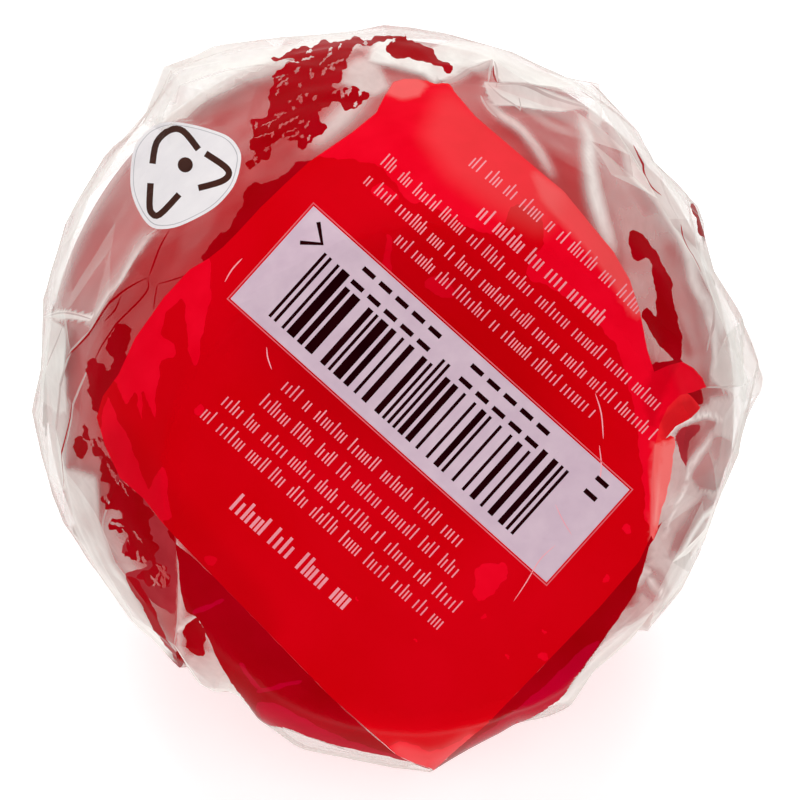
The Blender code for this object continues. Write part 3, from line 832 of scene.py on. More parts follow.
# Painted reflections on the film, partly its own milkiness, as pale places with plain edges: (strength,
# softness, outline).
PAINTED_VEILS = [
    (0.70, 0.3, [
        (3.6, 33.0), (5.0, 30.1), (7.2, 30.9), (10.0, 31.9), (10.5, 30.5), (11.0, 29.7),
        (13.4, 29.3), (15.8, 29.2), (18.8, 29.3), (20.7, 28.8), (19.7, 30.0), (16.8, 31.8),
        (12.9, 33.5), (8.0, 34.2),
    ]),
    (0.55, 0.2, [
        (9.4, 29.5), (10.9, 29.4), (13.4, 28.9), (15.6, 28.3), (19.2, 27.1), (16.8, 26.9),
        (13.9, 27.3), (10.5, 27.5), (9.7, 28.6),
    ]),
    (0.60, 0.3, [(19.5, 27.1), (20.7, 27.6), (21.1, 26.3), (20.5, 25.7), (19.7, 26.3)]),
    (0.40, 0.4, [
        (20.9, 26.9), (21.9, 25.5), (23.1, 23.6), (24.3, 21.2), (25.8, 18.5), (27.6, 15.9),
        (29.0, 13.8), (30.5, 10.6), (31.4, 8.3), (31.9, 5.5), (32.1, 2.4), (34.5, 2.4),
        (33.0, 7.5), (31.0, 12.4), (29.5, 15.8), (27.1, 20.2), (24.6, 23.2), (23.2, 26.1),
        (21.7, 27.9),
    ]),
    (0.40, 2.2, [
        (21.3, 25.9), (22.5, 24.0), (23.7, 21.7), (24.6, 19.8), (25.4, 19.1), (24.3, 21.0),
        (23.1, 23.4), (21.9, 25.3),
    ]),
    (0.15, 1.5, [(29.5, 7.5), (30.5, 6.5), (31.7, 4.1), (31.7, 2.0), (30.5, 2.6), (29.5, 5.0)]),
    (0.55, 0.4, [(32.0, 4.1), (33.3, 3.6), (34.6, 2.1), (34.6, -1.3), (32.7, -0.1), (31.7, 1.1)]),
    (0.70, 1.6, [
        (-22.9, 30.2), (-22.2, 29.7), (-20.0, 29.6), (-17.3, 30.2), (-14.6, 31.0),
        (-12.4, 31.8), (-8.7, 33.2), (-3.8, 34.0), (-9.7, 34.4), (-16.0, 34.0), (-19.5, 32.2),
        (-22.4, 31.0),
    ]),
    (0.65, 0.5, [
        (-22.7, 29.7), (-20.6, 29.3), (-21.3, 27.9), (-22.1, 26.1), (-23.4, 25.1),
        (-24.0, 25.9), (-23.6, 28.1),
    ]),
    (0.42, 1.5, [
        (-24.8, 24.4), (-23.8, 26.5), (-22.4, 28.3), (-19.9, 30.2), (-16.3, 31.8),
        (-12.4, 33.0), (-7.7, 34.0), (-8.1, 32.6), (-11.6, 31.2), (-15.4, 29.9), (-18.7, 28.3),
        (-21.0, 26.5), (-23.0, 24.4),
    ]),
    (0.76, 0.8, [(-1.6, 32.2), (1.1, 31.6), (3.6, 31.0), (4.6, 30.2), (3.6, 33.0), (-0.8, 34.0)]),
    (0.45, 1.0, [
        (-4.2, 30.0), (-3.2, 29.5), (-1.4, 28.9), (-0.5, 29.5), (-1.2, 31.0), (-2.2, 31.8),
        (-3.6, 31.4),
    ]),
    (0.60, 0.25, [
        (-33.4, 6.9), (-32.2, 7.3), (-30.3, 7.0), (-28.8, 6.8), (-29.1, 6.4), (-30.5, 6.6),
        (-32.0, 6.6),
    ]),
    (0.62, 0.3, [
        (-33.5, 6.7), (-32.4, 6.1), (-31.6, 5.5), (-31.4, 3.6), (-31.3, 0.6), (-31.4, -2.3),
        (-32.2, -2.5), (-33.8, -1.3), (-34.4, -0.8), (-34.6, 1.6), (-34.0, 4.6),
    ]),
    (0.45, 1.0, [
        (-34.2, -1.3), (-31.6, -1.7), (-32.0, -5.2), (-31.8, -9.7), (-33.0, -8.2),
        (-33.8, -5.2),
    ]),
    (0.45, 0.8, [
        (-31.6, -8.2), (-29.1, -9.2), (-28.3, -13.1), (-27.1, -17.0), (-25.5, -20.0),
        (-23.4, -23.4), (-21.6, -25.8), (-23.4, -24.9), (-27.3, -19.5), (-30.3, -14.6),
    ]),
    (0.60, 0.3, [(-20.5, -23.7), (-18.9, -22.7), (-18.3, -23.1), (-19.5, -23.7)]),
    (0.34, 0.5, [
        (-19.3, -26.6), (-18.0, -26.0), (-16.9, -26.3), (-15.4, -28.8), (-13.8, -31.3),
        (-15.4, -30.3), (-18.0, -29.8), (-19.1, -28.0),
    ]),
    (0.22, 1.5, [
        (19.7, 26.1), (21.2, 20.2), (23.2, 14.4), (24.6, 8.5), (25.6, 3.6), (29.5, 0.6),
        (30.5, 4.6), (29.5, 10.4), (26.6, 16.3), (23.7, 22.2), (21.2, 26.1),
    ]),
    (0.44, 0.9, [
        (27.8, -5.4), (29.5, -3.1), (31.1, -1.7), (34.3, -1.1), (34.6, -5.2), (34.1, -9.2),
        (32.7, -13.1), (30.7, -16.6), (28.8, -20.0), (26.6, -21.5), (24.6, -21.9),
        (25.6, -18.0), (26.1, -14.1), (26.9, -10.1),
    ]),
    (0.36, 0.5, [
        (22.9, -22.1), (24.6, -21.5), (27.0, -21.3), (25.6, -23.9), (24.6, -23.9),
        (22.7, -25.6), (20.7, -27.6), (19.3, -29.8), (17.8, -30.9), (16.8, -30.9),
        (19.7, -27.6), (21.7, -24.4),
    ]),
]
# Clear places within the painted veils: (share of the milkiness and painted reflection left, softness,
# outline).
CLEARED = [
    (0.35, 1.2, [
        (-26.5, 23.2), (-25.2, 22.2), (-24.4, 18.3), (-25.5, 14.4), (-27.5, 10.4),
        (-28.6, 9.5), (-29.3, 11.4), (-28.5, 16.3), (-27.5, 20.2),
    ]),
    (0.08, 0.2, [
        (28.3, -5.3), (28.8, -4.5), (29.7, -3.8), (31.0, -3.3), (31.9, -3.6), (31.6, -4.6),
        (30.5, -5.8), (29.7, -7.2), (29.5, -8.2), (29.1, -7.2), (28.7, -6.0),
    ]),
    (0.32, 0.3, [
        (29.9, -9.0), (30.0, -7.4), (30.5, -6.2), (31.5, -5.2), (32.5, -5.0), (33.4, -5.4),
        (33.6, -6.7), (33.3, -8.2), (32.5, -9.4), (31.5, -10.0), (30.5, -9.8),
    ]),
    (0.35, 0.6, [
        (30.9, -10.8), (31.4, -11.4), (31.1, -12.6), (30.2, -14.1), (29.2, -15.5),
        (28.2, -16.7), (27.6, -16.6), (28.0, -15.8), (29.2, -14.1), (30.2, -12.1),
    ]),
    (0.15, 0.4, [(29.2, -0.4), (30.5, -0.3), (31.3, -1.5), (30.5, -2.0), (29.5, -1.7)]),
    (0.55, 0.5, [
        (25.8, -17.8), (26.6, -18.4), (27.4, -20.0), (26.8, -20.7), (25.6, -20.7),
        (24.9, -20.0),
    ]),
    (0.45, 0.8, [
        (21.3, 25.9), (22.5, 24.0), (23.7, 21.7), (24.6, 19.8), (25.8, 17.3), (25.0, 17.1),
        (23.5, 20.2), (21.9, 23.4),
    ]),
    (0.40, 1.0, [
        (27.4, 13.4), (29.0, 10.4), (30.1, 7.0), (30.5, 3.6), (29.5, 3.4), (28.6, 7.0),
        (27.4, 10.4),
    ]),
]
# Painted light on the print: a painted reflection of the film over it above 0, and painted shade below 0:
# (strength, softness, outline).
PAINTED_SHEENS_AND_SHADE = [
    (-0.38, 9.0, [
        (-8.7, 5.0), (-5.7, 8.5), (1.1, 10.4), (6.5, 8.5), (10.9, 2.6), (12.9, -4.3),
        (8.0, -7.2), (1.1, -4.3), (-5.7, -0.3),
    ]),
    (0.07, 3.0, [
        (6.0, 27.1), (9.0, 25.1), (12.9, 21.7), (15.8, 18.8), (14.8, 16.8), (10.9, 18.8),
        (7.0, 21.7), (5.0, 24.7),
    ]),
    (0.13, 0.7, [
        (14.5, 20.6), (17.2, 18.7), (20.1, 15.4), (22.1, 13.0), (23.7, 10.2), (24.7, 7.1),
        (24.1, 7.3), (21.9, 10.8), (19.7, 13.6), (17.3, 16.1), (15.3, 18.5),
    ]),
    (0.10, 1.2, [
        (1.1, -35.6), (3.6, -36.3), (5.5, -36.1), (8.0, -34.5), (6.5, -36.2), (4.5, -37.6),
        (2.3, -36.8),
    ]),
    (0.22, 0.5, [
        (0.0, 28.9), (0.6, 29.8), (1.6, 30.1), (2.7, 30.1), (3.5, 29.6), (2.9, 28.7),
        (1.5, 28.4),
    ]),
    (0.30, 0.5, [
        (27.1, -5.6), (28.2, -5.2), (27.7, -8.0), (27.2, -10.9), (26.5, -13.9), (26.3, -13.3),
        (26.7, -9.6),
    ]),
    (0.22, 0.25, [(26.2, -5.8), (26.6, -5.8), (26.4, -11.1), (26.0, -15.0), (25.8, -15.0), (25.9, -9.2)]),
    (-0.30, 0.5, [(26.1, 1.4), (27.4, 2.0), (28.2, 2.2), (26.8, -0.5), (25.8, -3.8), (25.4, -1.3)]),
    (-0.32, 0.5, [(26.9, -3.3), (28.6, -1.8), (29.7, -1.5), (30.2, -2.5), (29.0, -4.1), (27.4, -5.2)]),
    (-0.25, 3.0, [
        (-27.5, -6.0), (-24.4, -11.1), (-20.5, -15.1), (-12.4, -23.5), (-13.6, -20.9),
        (-19.5, -14.1), (-23.4, -9.2), (-26.3, -5.2),
    ]),
]
# Sharp dark lines where a crease presses the film onto the toffee, and one painted shadow line just outside
# the print's upper right edge: (width, places).
DARK_LINES = [
    (0.16, [(-21.4, 15.3), (-22.3, 13.4), (-23.3, 10.7)]),
    (0.18, [(-23.3, 10.6), (-25.4, 9.4), (-27.1, 7.7), (-28.7, 5.7), (-31.0, 2.6)]),
    (0.16, [(-23.4, 10.5), (-23.5, 9.5), (-24.4, 8.3), (-26.5, 6.0), (-28.3, 3.4), (-29.5, 0.6)]),
    (0.14, [(-19.4, 11.0), (-21.2, 10.4), (-22.6, 10.0)]),
    (0.14, [(-22.6, 10.0), (-22.9, 8.5), (-23.0, 7.5)]),
    (0.14, [(-25.9, 8.7), (-26.5, 7.3), (-27.5, 6.3)]),
    # A painted shadow line just outside the print's upper right edge.
    (0.20, [(7.2, 27.7), (9.0, 25.9), (10.9, 24.1), (13.9, 21.7), (16.4, 19.5), (18.6, 17.2)]),
    (0.12, [(-30.7, -1.5), (-31.4, -4.5), (-31.8, -7.2), (-31.8, -9.8)]),
    (0.14, [(10.2, 31.2), (10.3, 30.2), (10.6, 29.5)]),
    (0.12, [(23.9, 23.6), (24.5, 22.2), (25.6, 20.0), (26.8, 18.7)]),
    (0.12, [(28.5, 15.8), (29.0, 13.4), (29.9, 10.9)]),
]


def on_label(u, v):
    """A place on the front from a place on the print."""
    return LABEL_MIDDLE + np.array((
        u * cos(LABEL_TURN) - v * sin(LABEL_TURN), u * sin(LABEL_TURN) + v * cos(LABEL_TURN)
    ))


def label_box(u0, v0, u1, v1):
    return np.array([on_label(u, v) for u, v in ((u0, v0), (u1, v0), (u1, v1), (u0, v1))])


def bar_shapes():
    """A plain bar pattern: guards at both ends and the middle, and seeded bars between."""
    rng = np.random.default_rng(SEED + 5)
    made = []

    def add(first, modules, top):
        start = BARS_START + first * MODULE
        made.append(label_box(start, BARS_FOOT, start + modules * MODULE * 0.96, top))

    for first in (0, 2, 46, 48, 92, 94):
        add(first, 1, GUARD_TOP)
    for cell in range(12):
        start = 3 + 7 * cell + (5 if cell > 5 else 0)
        widths = rng.multinomial(3, (0.25,) * 4) + 1
        top = GUARD_TOP if cell in (0, 11) else BARS_TOP
        first = start if cell > 5 else start + widths[0]
        add(first, widths[1] if cell < 6 else widths[0], top)
        second = first + widths[0] + widths[1] if cell > 5 else first + widths[1] + widths[2]
        add(second, widths[3] if cell < 6 else widths[2], top)
    low, high = MARK_ROW
    places = [BARS_START + MODULE * (13.5 + 6.4 * index) for index in range(5)]
    places += [BARS_START + MODULE * (55.5 + 6.4 * index) for index in range(5)]
    for u in places + [18.3]:
        for v in (low, high - 0.5):
            made.append(label_box(u - 0.75, v, u + 0.75, v + 0.5))
    tip = np.array((-17.7, 3.9))
    arms = [tip + (-1.7, 1.35), tip, tip + (-1.7, -1.35)]
    made.append(stroke([on_label(*arm) for arm in arms], 0.42))
    return made


def text_shapes():
    """Rows of small strokes in word-like groups, which spell nothing."""
    rng = np.random.default_rng(SEED + 6)
    made = []
    for v, u, last, height, width in TEXT_ROWS:
        pitch = height * 0.5
        while u < last:
            for _ in range(rng.integers(2, 10)):
                if u > last:
                    break
                bend = -0.0022 * u * u if v > 18 else 0.0
                low, high = v - height / 2 + bend, v + height / 2 + bend
                top = high if rng.random() < 0.3 else high - 0.3 * height
                made.append(label_box(u, low, u + width, top))
                u += pitch * rng.choice((0.5, 0.72))
            u += pitch * 0.8
    return made


def let_go_shapes():
    rng = np.random.default_rng(SEED + 7)
    made = []
    for cling, count, length, width, turn in LET_GO:
        outline = np.array(CLINGS[cling][1])
        low, high = outline.min(0), outline.max(0)
        centres = low + (high - low) * rng.random((count * 3, 2))
        centres = centres[inside(centres, outline)][:count]
        for centre in centres:
            size = rng.uniform(0.35, 1.0)
            made.append(ragged(
                blob(centre, length * size, width * rng.uniform(0.6, 1.5),
                     turn + rng.normal(0, 0.3), 8),
                0.06, int(rng.integers(1e6)), 0.6,
            ))
    return made


class Spot:
    """A place round the back of the film, to draw small flat shapes on."""

    def __init__(self, turn, tilt):
        self.across = np.array((-sin(turn), cos(turn), 0.0))
        self.middle = np.array((cos(turn) * sin(tilt), sin(turn) * sin(tilt), cos(tilt)))
        self.along = np.cross(self.across, self.middle)

    def onto(self, places):
        places = np.asarray(places)
        flat_on = places[:, :1] * self.along + places[:, 1:] * self.across
        return unit(SPOT_RADIUS * self.middle + flat_on)

    def seen(self, directions):
        depth = directions @ self.middle
        shown = np.stack([directions @ self.along, directions @ self.across], axis=1)
        return SPOT_RADIUS * shown / np.maximum(depth, 0.2)[:, None], depth > 0.6


def back_shapes():
    """Clinging places round the back, and painted highlights along its pleat crests and sharp creases, as
    (piece, outline, spot).
    """
    rng = np.random.default_rng(SEED + 4)
    found = []
    for index in range(BACK_CLING_COUNT):
        turn = 2 * pi * (index + rng.uniform(-0.35, 0.35)) / BACK_CLING_COUNT
        spot = Spot(turn, radians(rng.uniform(44, 96)))
        length, width = rng.uniform(4, 13), rng.uniform(1.5, 4.5)
        patch = blob((0, 0), length, width, rng.normal(0, 0.9), 11)
        patch *= rng.uniform(0.6, 1.35, (11, 1))
        piece = "film_cling" if index % 3 == 0 else "film_near"
        patch = ragged(patch, 0.22, int(rng.integers(1e6)), 2.6)
        under = spot.onto(patch)
        slack = plain_reach(under) - toffee_reach(under) - TOFFEE_DEPTH
        if slack.max() < CLING_SLACK:
            found.append((piece, patch, spot))
    for crest in pleat_crests():
        spot = Spot(crest + rng.normal(0, 0.03), radians(40))
        wander = rng.normal(0, 0.7, 5)
        line = np.stack([np.linspace(-10.2, rng.uniform(2, 13), 5), wander], axis=1)
        found.append(("film_crease", stroke(smooth_line(line, 5), 0.3, taper=True), spot))
    for _ in range(BACK_CREASE_COUNT):
        spot = Spot(rng.uniform(0, 2 * pi), radians(rng.uniform(45, 92)))
        heading, half = rng.normal(0, 0.8), rng.uniform(2.5, 6)
        line = np.outer(np.linspace(-half, half, 4), (cos(heading), sin(heading)))
        line += rng.normal(0, 0.35, line.shape)
        found.append(("film_crease", stroke(smooth_line(line, 5), 0.2, taper=True), spot))
    return [
        (piece, outline, spot) for piece, outline, spot in found
        if np.all(spot.onto(outline) @ VIEW_BACK < -0.06)
    ]


def all_shapes():
    """Every outline as (piece, pieces it may take from, outline, spot), later over earlier."""
    shapes = []

    def add(piece, outlines, takes=None):
        shapes.extend((piece, takes, np.asarray(outline), None) for outline in outlines)

    add("film_cling", [
        ragged(outline, amount, index) for index, (amount, outline) in enumerate(CLINGS)
    ])
    add("film_near", [ragged(outline, 0.1, 90) for outline in NEAR], ("wrap_film",))
    add("film_cling_bright", [
        ragged(outline, 0.06, 95 + index) for index, outline in enumerate(BRIGHT_CLINGS)
    ], ("film_cling",))
    add("wrap_film", let_go_shapes(), ("film_cling",))
    add("print_fold", [ragged(outline, 0.05, 99) for outline in FOLDS])
    label = np.array(LABEL_OUTLINE)
    add("print_tight", [label])
    add("print_lifted", [
        ragged(outline, amount, 40 + index) for index, (amount, outline) in enumerate(LIFTED)
    ], ("print_tight",))
    add("print_lifted", [
        ragged(blob(place[0], size), 0.1, 60 + index)
        for index, (place, size) in enumerate(LIFTED_SPOTS)
    ], ("print_tight",))
    u, v = PANEL_SIZE[0] / 2, PANEL_SIZE[1] / 2
    outer, inner = KEYLINE_GAP + KEYLINE_WIDTH, KEYLINE_GAP
    reds = ("print_tight", "print_lifted")
    add("print_keyline", [label_box(-u - outer, -v - outer, u + outer, v + outer)], reds)
    add("print_tight", [label_box(-u - inner, -v - inner, u + inner, v + inner)])
    add("print_panel", [label_box(-u, -v, u, v)])
    add("print_text", text_shapes(), reds)
    add("print_scratch", [
        stroke(smooth_line(places, 4), width, taper=True) for width, places in SCRATCHES
    ], reds + ("print_panel",))
    add("print_bars", bar_shapes())
    patch = smooth_line(PATCH_CORNERS, 3, closed=True)
    middle = patch.mean(0)
    add("print_patch", [patch])
    add("patch_keyline", [middle + (patch - middle) * 0.945])
    add("print_patch", [middle + (patch - middle) * 0.93])
    add("print_mark", [stroke(smooth_line(bar, 4), PATCH_BAR_WIDTH) for bar in PATCH_BARS])
    add("print_mark", [blob(PATCH_DOT[0], 1.5, corners=16)])
    add("film_cling", [
        stroke(smooth_line(places, 5), width, taper=True) for width, places in DARK_LINES
    ], ("wrap_film",))
    # Painted highlights along hard creases.
    add("film_crease", [
        stroke(smooth_line(places, 5), width, taper=True) for width, places in CREASE_HIGHLIGHTS
    ], ("wrap_film",))
    shapes.extend(
        (piece, ("wrap_film",), outline, spot) for piece, outline, spot in back_shapes()
    )
    return shapes


SHAPES = all_shapes()


# ---------------------------------------------------------------- the film as one triangulation


class Lines:
    """Directions and the edges between them that the triangulation has to keep."""

    def __init__(self):
        self.directions, self.edges = [], []

    def add(self, directions, closed=False):
        start = sum(len(part) for part in self.directions)
        self.directions.append(directions)
        count = len(directions)
        self.edges += [(start + i, start + i + 1) for i in range(count - 1)]
        if closed:
            self.edges.append((start + count - 1, start))


def film_lines():
    lines = Lines()
    for _, _, outline, spot in SHAPES:
        edge = divided(outline, LINE_STEP, closed=True)
        lines.add(spot.onto(edge) if spot else onto_film(edge), closed=True)
    for _, softness, outline in PAINTED_VEILS + CLEARED + PAINTED_SHEENS_AND_SHADE:
        if softness < 0.6:
            lines.add(onto_film(divided(outline, LINE_STEP, closed=True)), closed=True)
    kept = set()
    for face in FACET_FACES:
        for start, end in zip(face, np.roll(face, -1)):
            kept.add((min(start, end), max(start, end)))
    for start, end in sorted(kept):
        line = unit(divided(FACET_POINTS[[start, end]], LINE_STEP * 1.4))
        keep = from_foot(line) < NECK_ANGLE - 0.04
        if keep.all():
            lines.add(line)
    angles = np.linspace(0, 2 * pi, NECK_SEGMENTS, endpoint=False)
    ring = np.stack([np.cos(angles), np.sin(angles), np.zeros(NECK_SEGMENTS)], axis=1)
    lines.add(unit(ring * sin(NECK_ANGLE) - (0, 0, cos(NECK_ANGLE))), closed=True)
    return lines


def film_points(lines):
    """Free points over the film, finer at the front, clear of the lines."""
    radius = 35.0
    front = golden_sphere(int(4 * pi * radius**2 / (0.87 * FRONT_STEP**2)))
    front = front[front @ VIEW_BACK > -0.12]
    back = golden_sphere(int(4 * pi * radius**2 / (0.87 * BACK_STEP**2)))
    back = back[(back @ VIEW_BACK < -0.135) & (from_foot(back) < NECK_ANGLE - 0.03)]
    fixed = np.vstack(lines.directions)
    tree = KDTree(len(fixed))
    for index, direction in enumerate(fixed):
        tree.insert(Vector(direction), index)
    tree.balance()
    kept = []
    for points, step in ((front, FRONT_STEP), (back, BACK_STEP)):
        clear = step * 0.5 / radius
        kept.append(points[[tree.find(Vector(point))[2] > clear for point in points]])
    return np.vstack([fixed, *kept])


def label_triangles(directions, triangles):
    """The piece that each triangle belongs to, as an index into the list of names."""
    centres = unit(directions[triangles].mean(axis=1))
    seen = to_view(centres * plain_reach(centres)[:, None])
    front = centres @ VIEW_BACK > 0.02
    names = ["wrap_film"] + sorted({shape[0] for shape in SHAPES} - {"wrap_film"})
    labels = np.zeros(len(triangles), int)
    for piece, takes, outline, spot in SHAPES:
        if spot:
            places, near = spot.seen(centres)
            chosen = inside(places, outline) & near
        else:
            chosen = inside(seen, outline) & front
        if takes:
            chosen &= np.isin(labels, [names.index(name) for name in takes])
        labels[chosen] = names.index(piece)
    return names, labels


def covered(seen, softness, outline):
    """How much an outline with a soft edge covers each place, from 0 to 1."""
    line = np.vstack([outline, outline[:1]])
    outside = np.where(inside(seen, outline), 0.0, off_line(seen, line)[0])
    return 1 - ramp(0.0, softness, outside)


def haze_and_painted_light_of(directions):
    """How milky the film is at each point, painted highlights and reflections included: painted veils,
    cleared places in them, painted highlights along ridges and pleat crests, and streaks.
    """
    points = directions * plain_reach(directions)[:, None]
    seen = to_view(points)
    front = ramp(0.04, 0.26, directions @ VIEW_BACK)
    turns, reach = np.arctan2(seen[:, 1], seen[:, 0]), np.hypot(*seen.T)
    spread = np.stack([30 * np.cos(turns), 30 * np.sin(turns), STREAK_STRETCH * reach], axis=1)
    streaks = ripples(spread, (2.0, 8.0), 14, SEED + 12)
    haze_and_painted_light = np.zeros(len(directions))
    # Painted reflections, as milky veils.
    for strength, softness, outline in PAINTED_VEILS:
        haze_and_painted_light = np.maximum(haze_and_painted_light, strength * covered(seen, softness, outline))
    for kept, softness, outline in CLEARED:
        haze_and_painted_light *= 1 - (1 - kept) * covered(seen, softness, outline)
    haze_and_painted_light *= 1 + STREAK_DEPTH * np.clip(streaks, -1.5, 1.5)
    # Painted highlights along ridges, as pale bands.
    for strength, half_width, sharp_side, places in HIGHLIGHT_BANDS:
        distance, side, along = off_line(seen, smooth_line(places, 4))
        distance = np.where(side == sharp_side, distance * 4, distance)
        fade = 1 - np.abs(2 * along - 1) ** 4 * 0.9
        haze_and_painted_light = np.maximum(haze_and_painted_light, strength * np.exp(-((distance / half_width) ** 2)) * fade)
    # Painted highlights on the pleat crests round the back.
    crests = (pleats(directions, points[:, 2]) / PLEAT_HEIGHT) ** 3 * (1 - front)
    gathered = 0.25 * ramp(radians(140), NECK_ANGLE, from_foot(directions))
    blotches = ramp(0.2, 1.6, ripples(points, (3.0, 9.0), 10, SEED + 3))
    return np.clip(haze_and_painted_light * front + 0.35 * crests + gathered + 0.04 * blotches, 0, 1)


def painted_sheen_and_shade_of(directions):
    """How much painted reflection lies on the print, or painted shade where it is below 0."""
    seen = to_view(directions * plain_reach(directions)[:, None])
    painted_sheen_and_shade = np.zeros(len(directions))
    for strength, softness, outline in PAINTED_SHEENS_AND_SHADE:
        painted_sheen_and_shade += strength * covered(seen, softness, outline)
    return painted_sheen_and_shade


def new_piece(name, points, faces, replaces=None, sharp=35):
    """A mesh piece from points in the apple's own frame."""
    mesh = bpy.data.meshes.new(name)
    mesh.from_pydata(to_row(points).tolist(), [], faces)
    mesh.validate()
    mesh.shade_smooth()
    mesh.set_sharp_from_angle(angle=radians(sharp))
    made = bpy.data.objects.new(name, mesh)
    bpy.context.scene.collection.objects.link(made)
    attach(made, "root")
    if replaces:
        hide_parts(replaces)
    return made


def set_value(obj, name, values):
    attribute = obj.data.attributes.new(name, "FLOAT", "POINT")
    attribute.data.foreach_set("value", np.asarray(values, np.float32))


def neck_piece():
    """The gathered neck behind the film's edge."""
    angles = np.linspace(0, 2 * pi, NECK_SEGMENTS, endpoint=False)
    ring = np.stack([np.cos(angles), np.sin(angles), np.zeros(NECK_SEGMENTS)], axis=1)
    edge = unit(ring * sin(NECK_ANGLE) - (0, 0, cos(NECK_ANGLE)))
    rows, hazes_and_painted_light = [edge * film_reach(edge)[:, None]], [haze_and_painted_light_of(edge)]
    curve = smooth_line(SECTION[1:], 16)
    curve = curve[np.arctan2(curve[:, 0], -curve[:, 1]) > NECK_ANGLE + 0.01]
    fold = np.sin(angles * 17 + 1.5 * np.sin(3 * angles)) + 0.4 * np.sin(angles * 31)
    for radius, station in curve:
        gathered = ramp(34.0, NECK_START, station)
        spread = radius + 0.26 * fold * gathered
        points = ring * spread[:, None] + (0, 0, station)
        directions = unit(points)
        points += ring * pleats(directions, np.full(len(points), station))[:, None]
        rows.append(points)
        # Painted highlights on the crests of the gathered folds, given as milkiness.
        crests = ramp(-0.2, 1.2, fold) * gathered
        hazes_and_painted_light.append(hazes_and_painted_light[0] * (1 - gathered) + (0.16 + 0.34 * crests) * gathered)
    made = new_piece(
        "film_neck", np.vstack(rows), joined_rows(rows), "film_wrap", sharp=50
    )
    set_value(made, "haze_and_painted_light", np.concatenate(hazes_and_painted_light))
    return made


def joined_rows(rows):
    """Faces between rows of points round the axis."""
    count = len(rows[0])
    faces = []
    for row in range(len(rows) - 1):
        for index in range(count):
            after = (index + 1) % count
            a, b = row * count + index, row * count + after
            faces.append((a, b, b + count, a + count))
    return faces


def build_film():
    """The film, its print and its clinging places. Returns the pieces by name."""
    lines = film_lines()
    directions, triangles, _ = triangulate(film_points(lines), lines.edges)
    triangles = triangles[from_foot(unit(directions[triangles].mean(axis=1))) < NECK_ANGLE]
    names, labels = label_triangles(directions, triangles)
    reach = film_reach(directions)
    points = directions * reach[:, None]
    haze_and_painted_light, painted_sheen_and_shade = haze_and_painted_light_of(directions), painted_sheen_and_shade_of(directions)
    pieces = {}
    for index, name in enumerate(names):
        chosen = triangles[labels == index]
        if not len(chosen):
            continue
        used, faces = np.unique(chosen, return_inverse=True)
        faces = faces.reshape(-1, 3)
        outward = np.cross(
            points[chosen[:, 1]] - points[chosen[:, 0]], points[chosen[:, 2]] - points[chosen[:, 0]]
        )
        flip = np.sum(outward * points[chosen[:, 0]], axis=1) < 0
        faces[flip] = faces[flip][:, ::-1]
        made = new_piece(
            name, points[used], faces.tolist(), "film_wrap", sharp=9
        )
        if name == "wrap_film":
            set_value(made, "haze_and_painted_light", haze_and_painted_light[used])
        elif name in PAINTED_SHEEN_PIECES:
            set_value(made, "painted_sheen_and_shade", painted_sheen_and_shade[used])
        pieces[name] = made
    return pieces


# ---------------------------------------------------------------- toffee, corners, neck, tape


def toffee_piece():
    """The toffee: a dipped ball with a flat foot and slow lumps."""
    rows, segments = 150, 256
    angles = np.linspace(0, 2 * pi, segments, endpoint=False)
    points = []
    for row in range(rows):
        tilt = pi * (row + 0.5) / rows
        directions = np.stack([
            sin(tilt) * np.cos(angles), sin(tilt) * np.sin(angles), np.full(segments, -cos(tilt))
        ], axis=1)
        reach = toffee_reach(directions)
        surface = directions * reach[:, None]
        lumps = 0.05 * ripples(surface, (10, 24), 8, SEED + 8) * ramp(0.5, 0.8, tilt)
        points.append(directions * (reach + lumps - 0.04)[:, None])
    faces = [face[::-1] for face in joined_rows(points)]
    ends = np.vstack([points[0].mean(0), points[-1].mean(0)])
    base = rows * segments
    for index in range(segments):
        after = (index + 1) % segments
        faces.append((base, index, after))
        faces.append((base + 1, base - segments + after, base - segments + index))
    return new_piece(
        "toffee_apple", np.vstack([*points, ends]), faces, "film_wrap", sharp=60
    )


# Loose corners of the sheet: (where their milkiness starts, where it is full, how milky, outline).
CORNERS = {
    "corner_left": (33.4, 36.2, 0.42, [
        (-23.9, 25.9), (-23.5, 28.3), (-22.8, 29.7), (-23.1, 30.4), (-22.9, 31.0),
        (-20.0, 32.0), (-16.0, 33.6), (-12.4, 34.2), (-9.1, 31.8), (-12.8, 29.7),
        (-16.3, 28.5), (-19.3, 26.9), (-21.4, 25.1), (-22.8, 24.8),
    ]),
    "corner_right": (31.6, 35.4, 0.36, [
        (34.6, 6.3), (35.5, 4.9), (36.2, 3.4), (37.0, -0.5), (35.4, -1.2), (34.3, -1.7),
        (34.2, 0.0), (32.7, -0.2), (31.2, -0.2), (31.9, 2.6), (32.7, 5.0),
    ]),
}


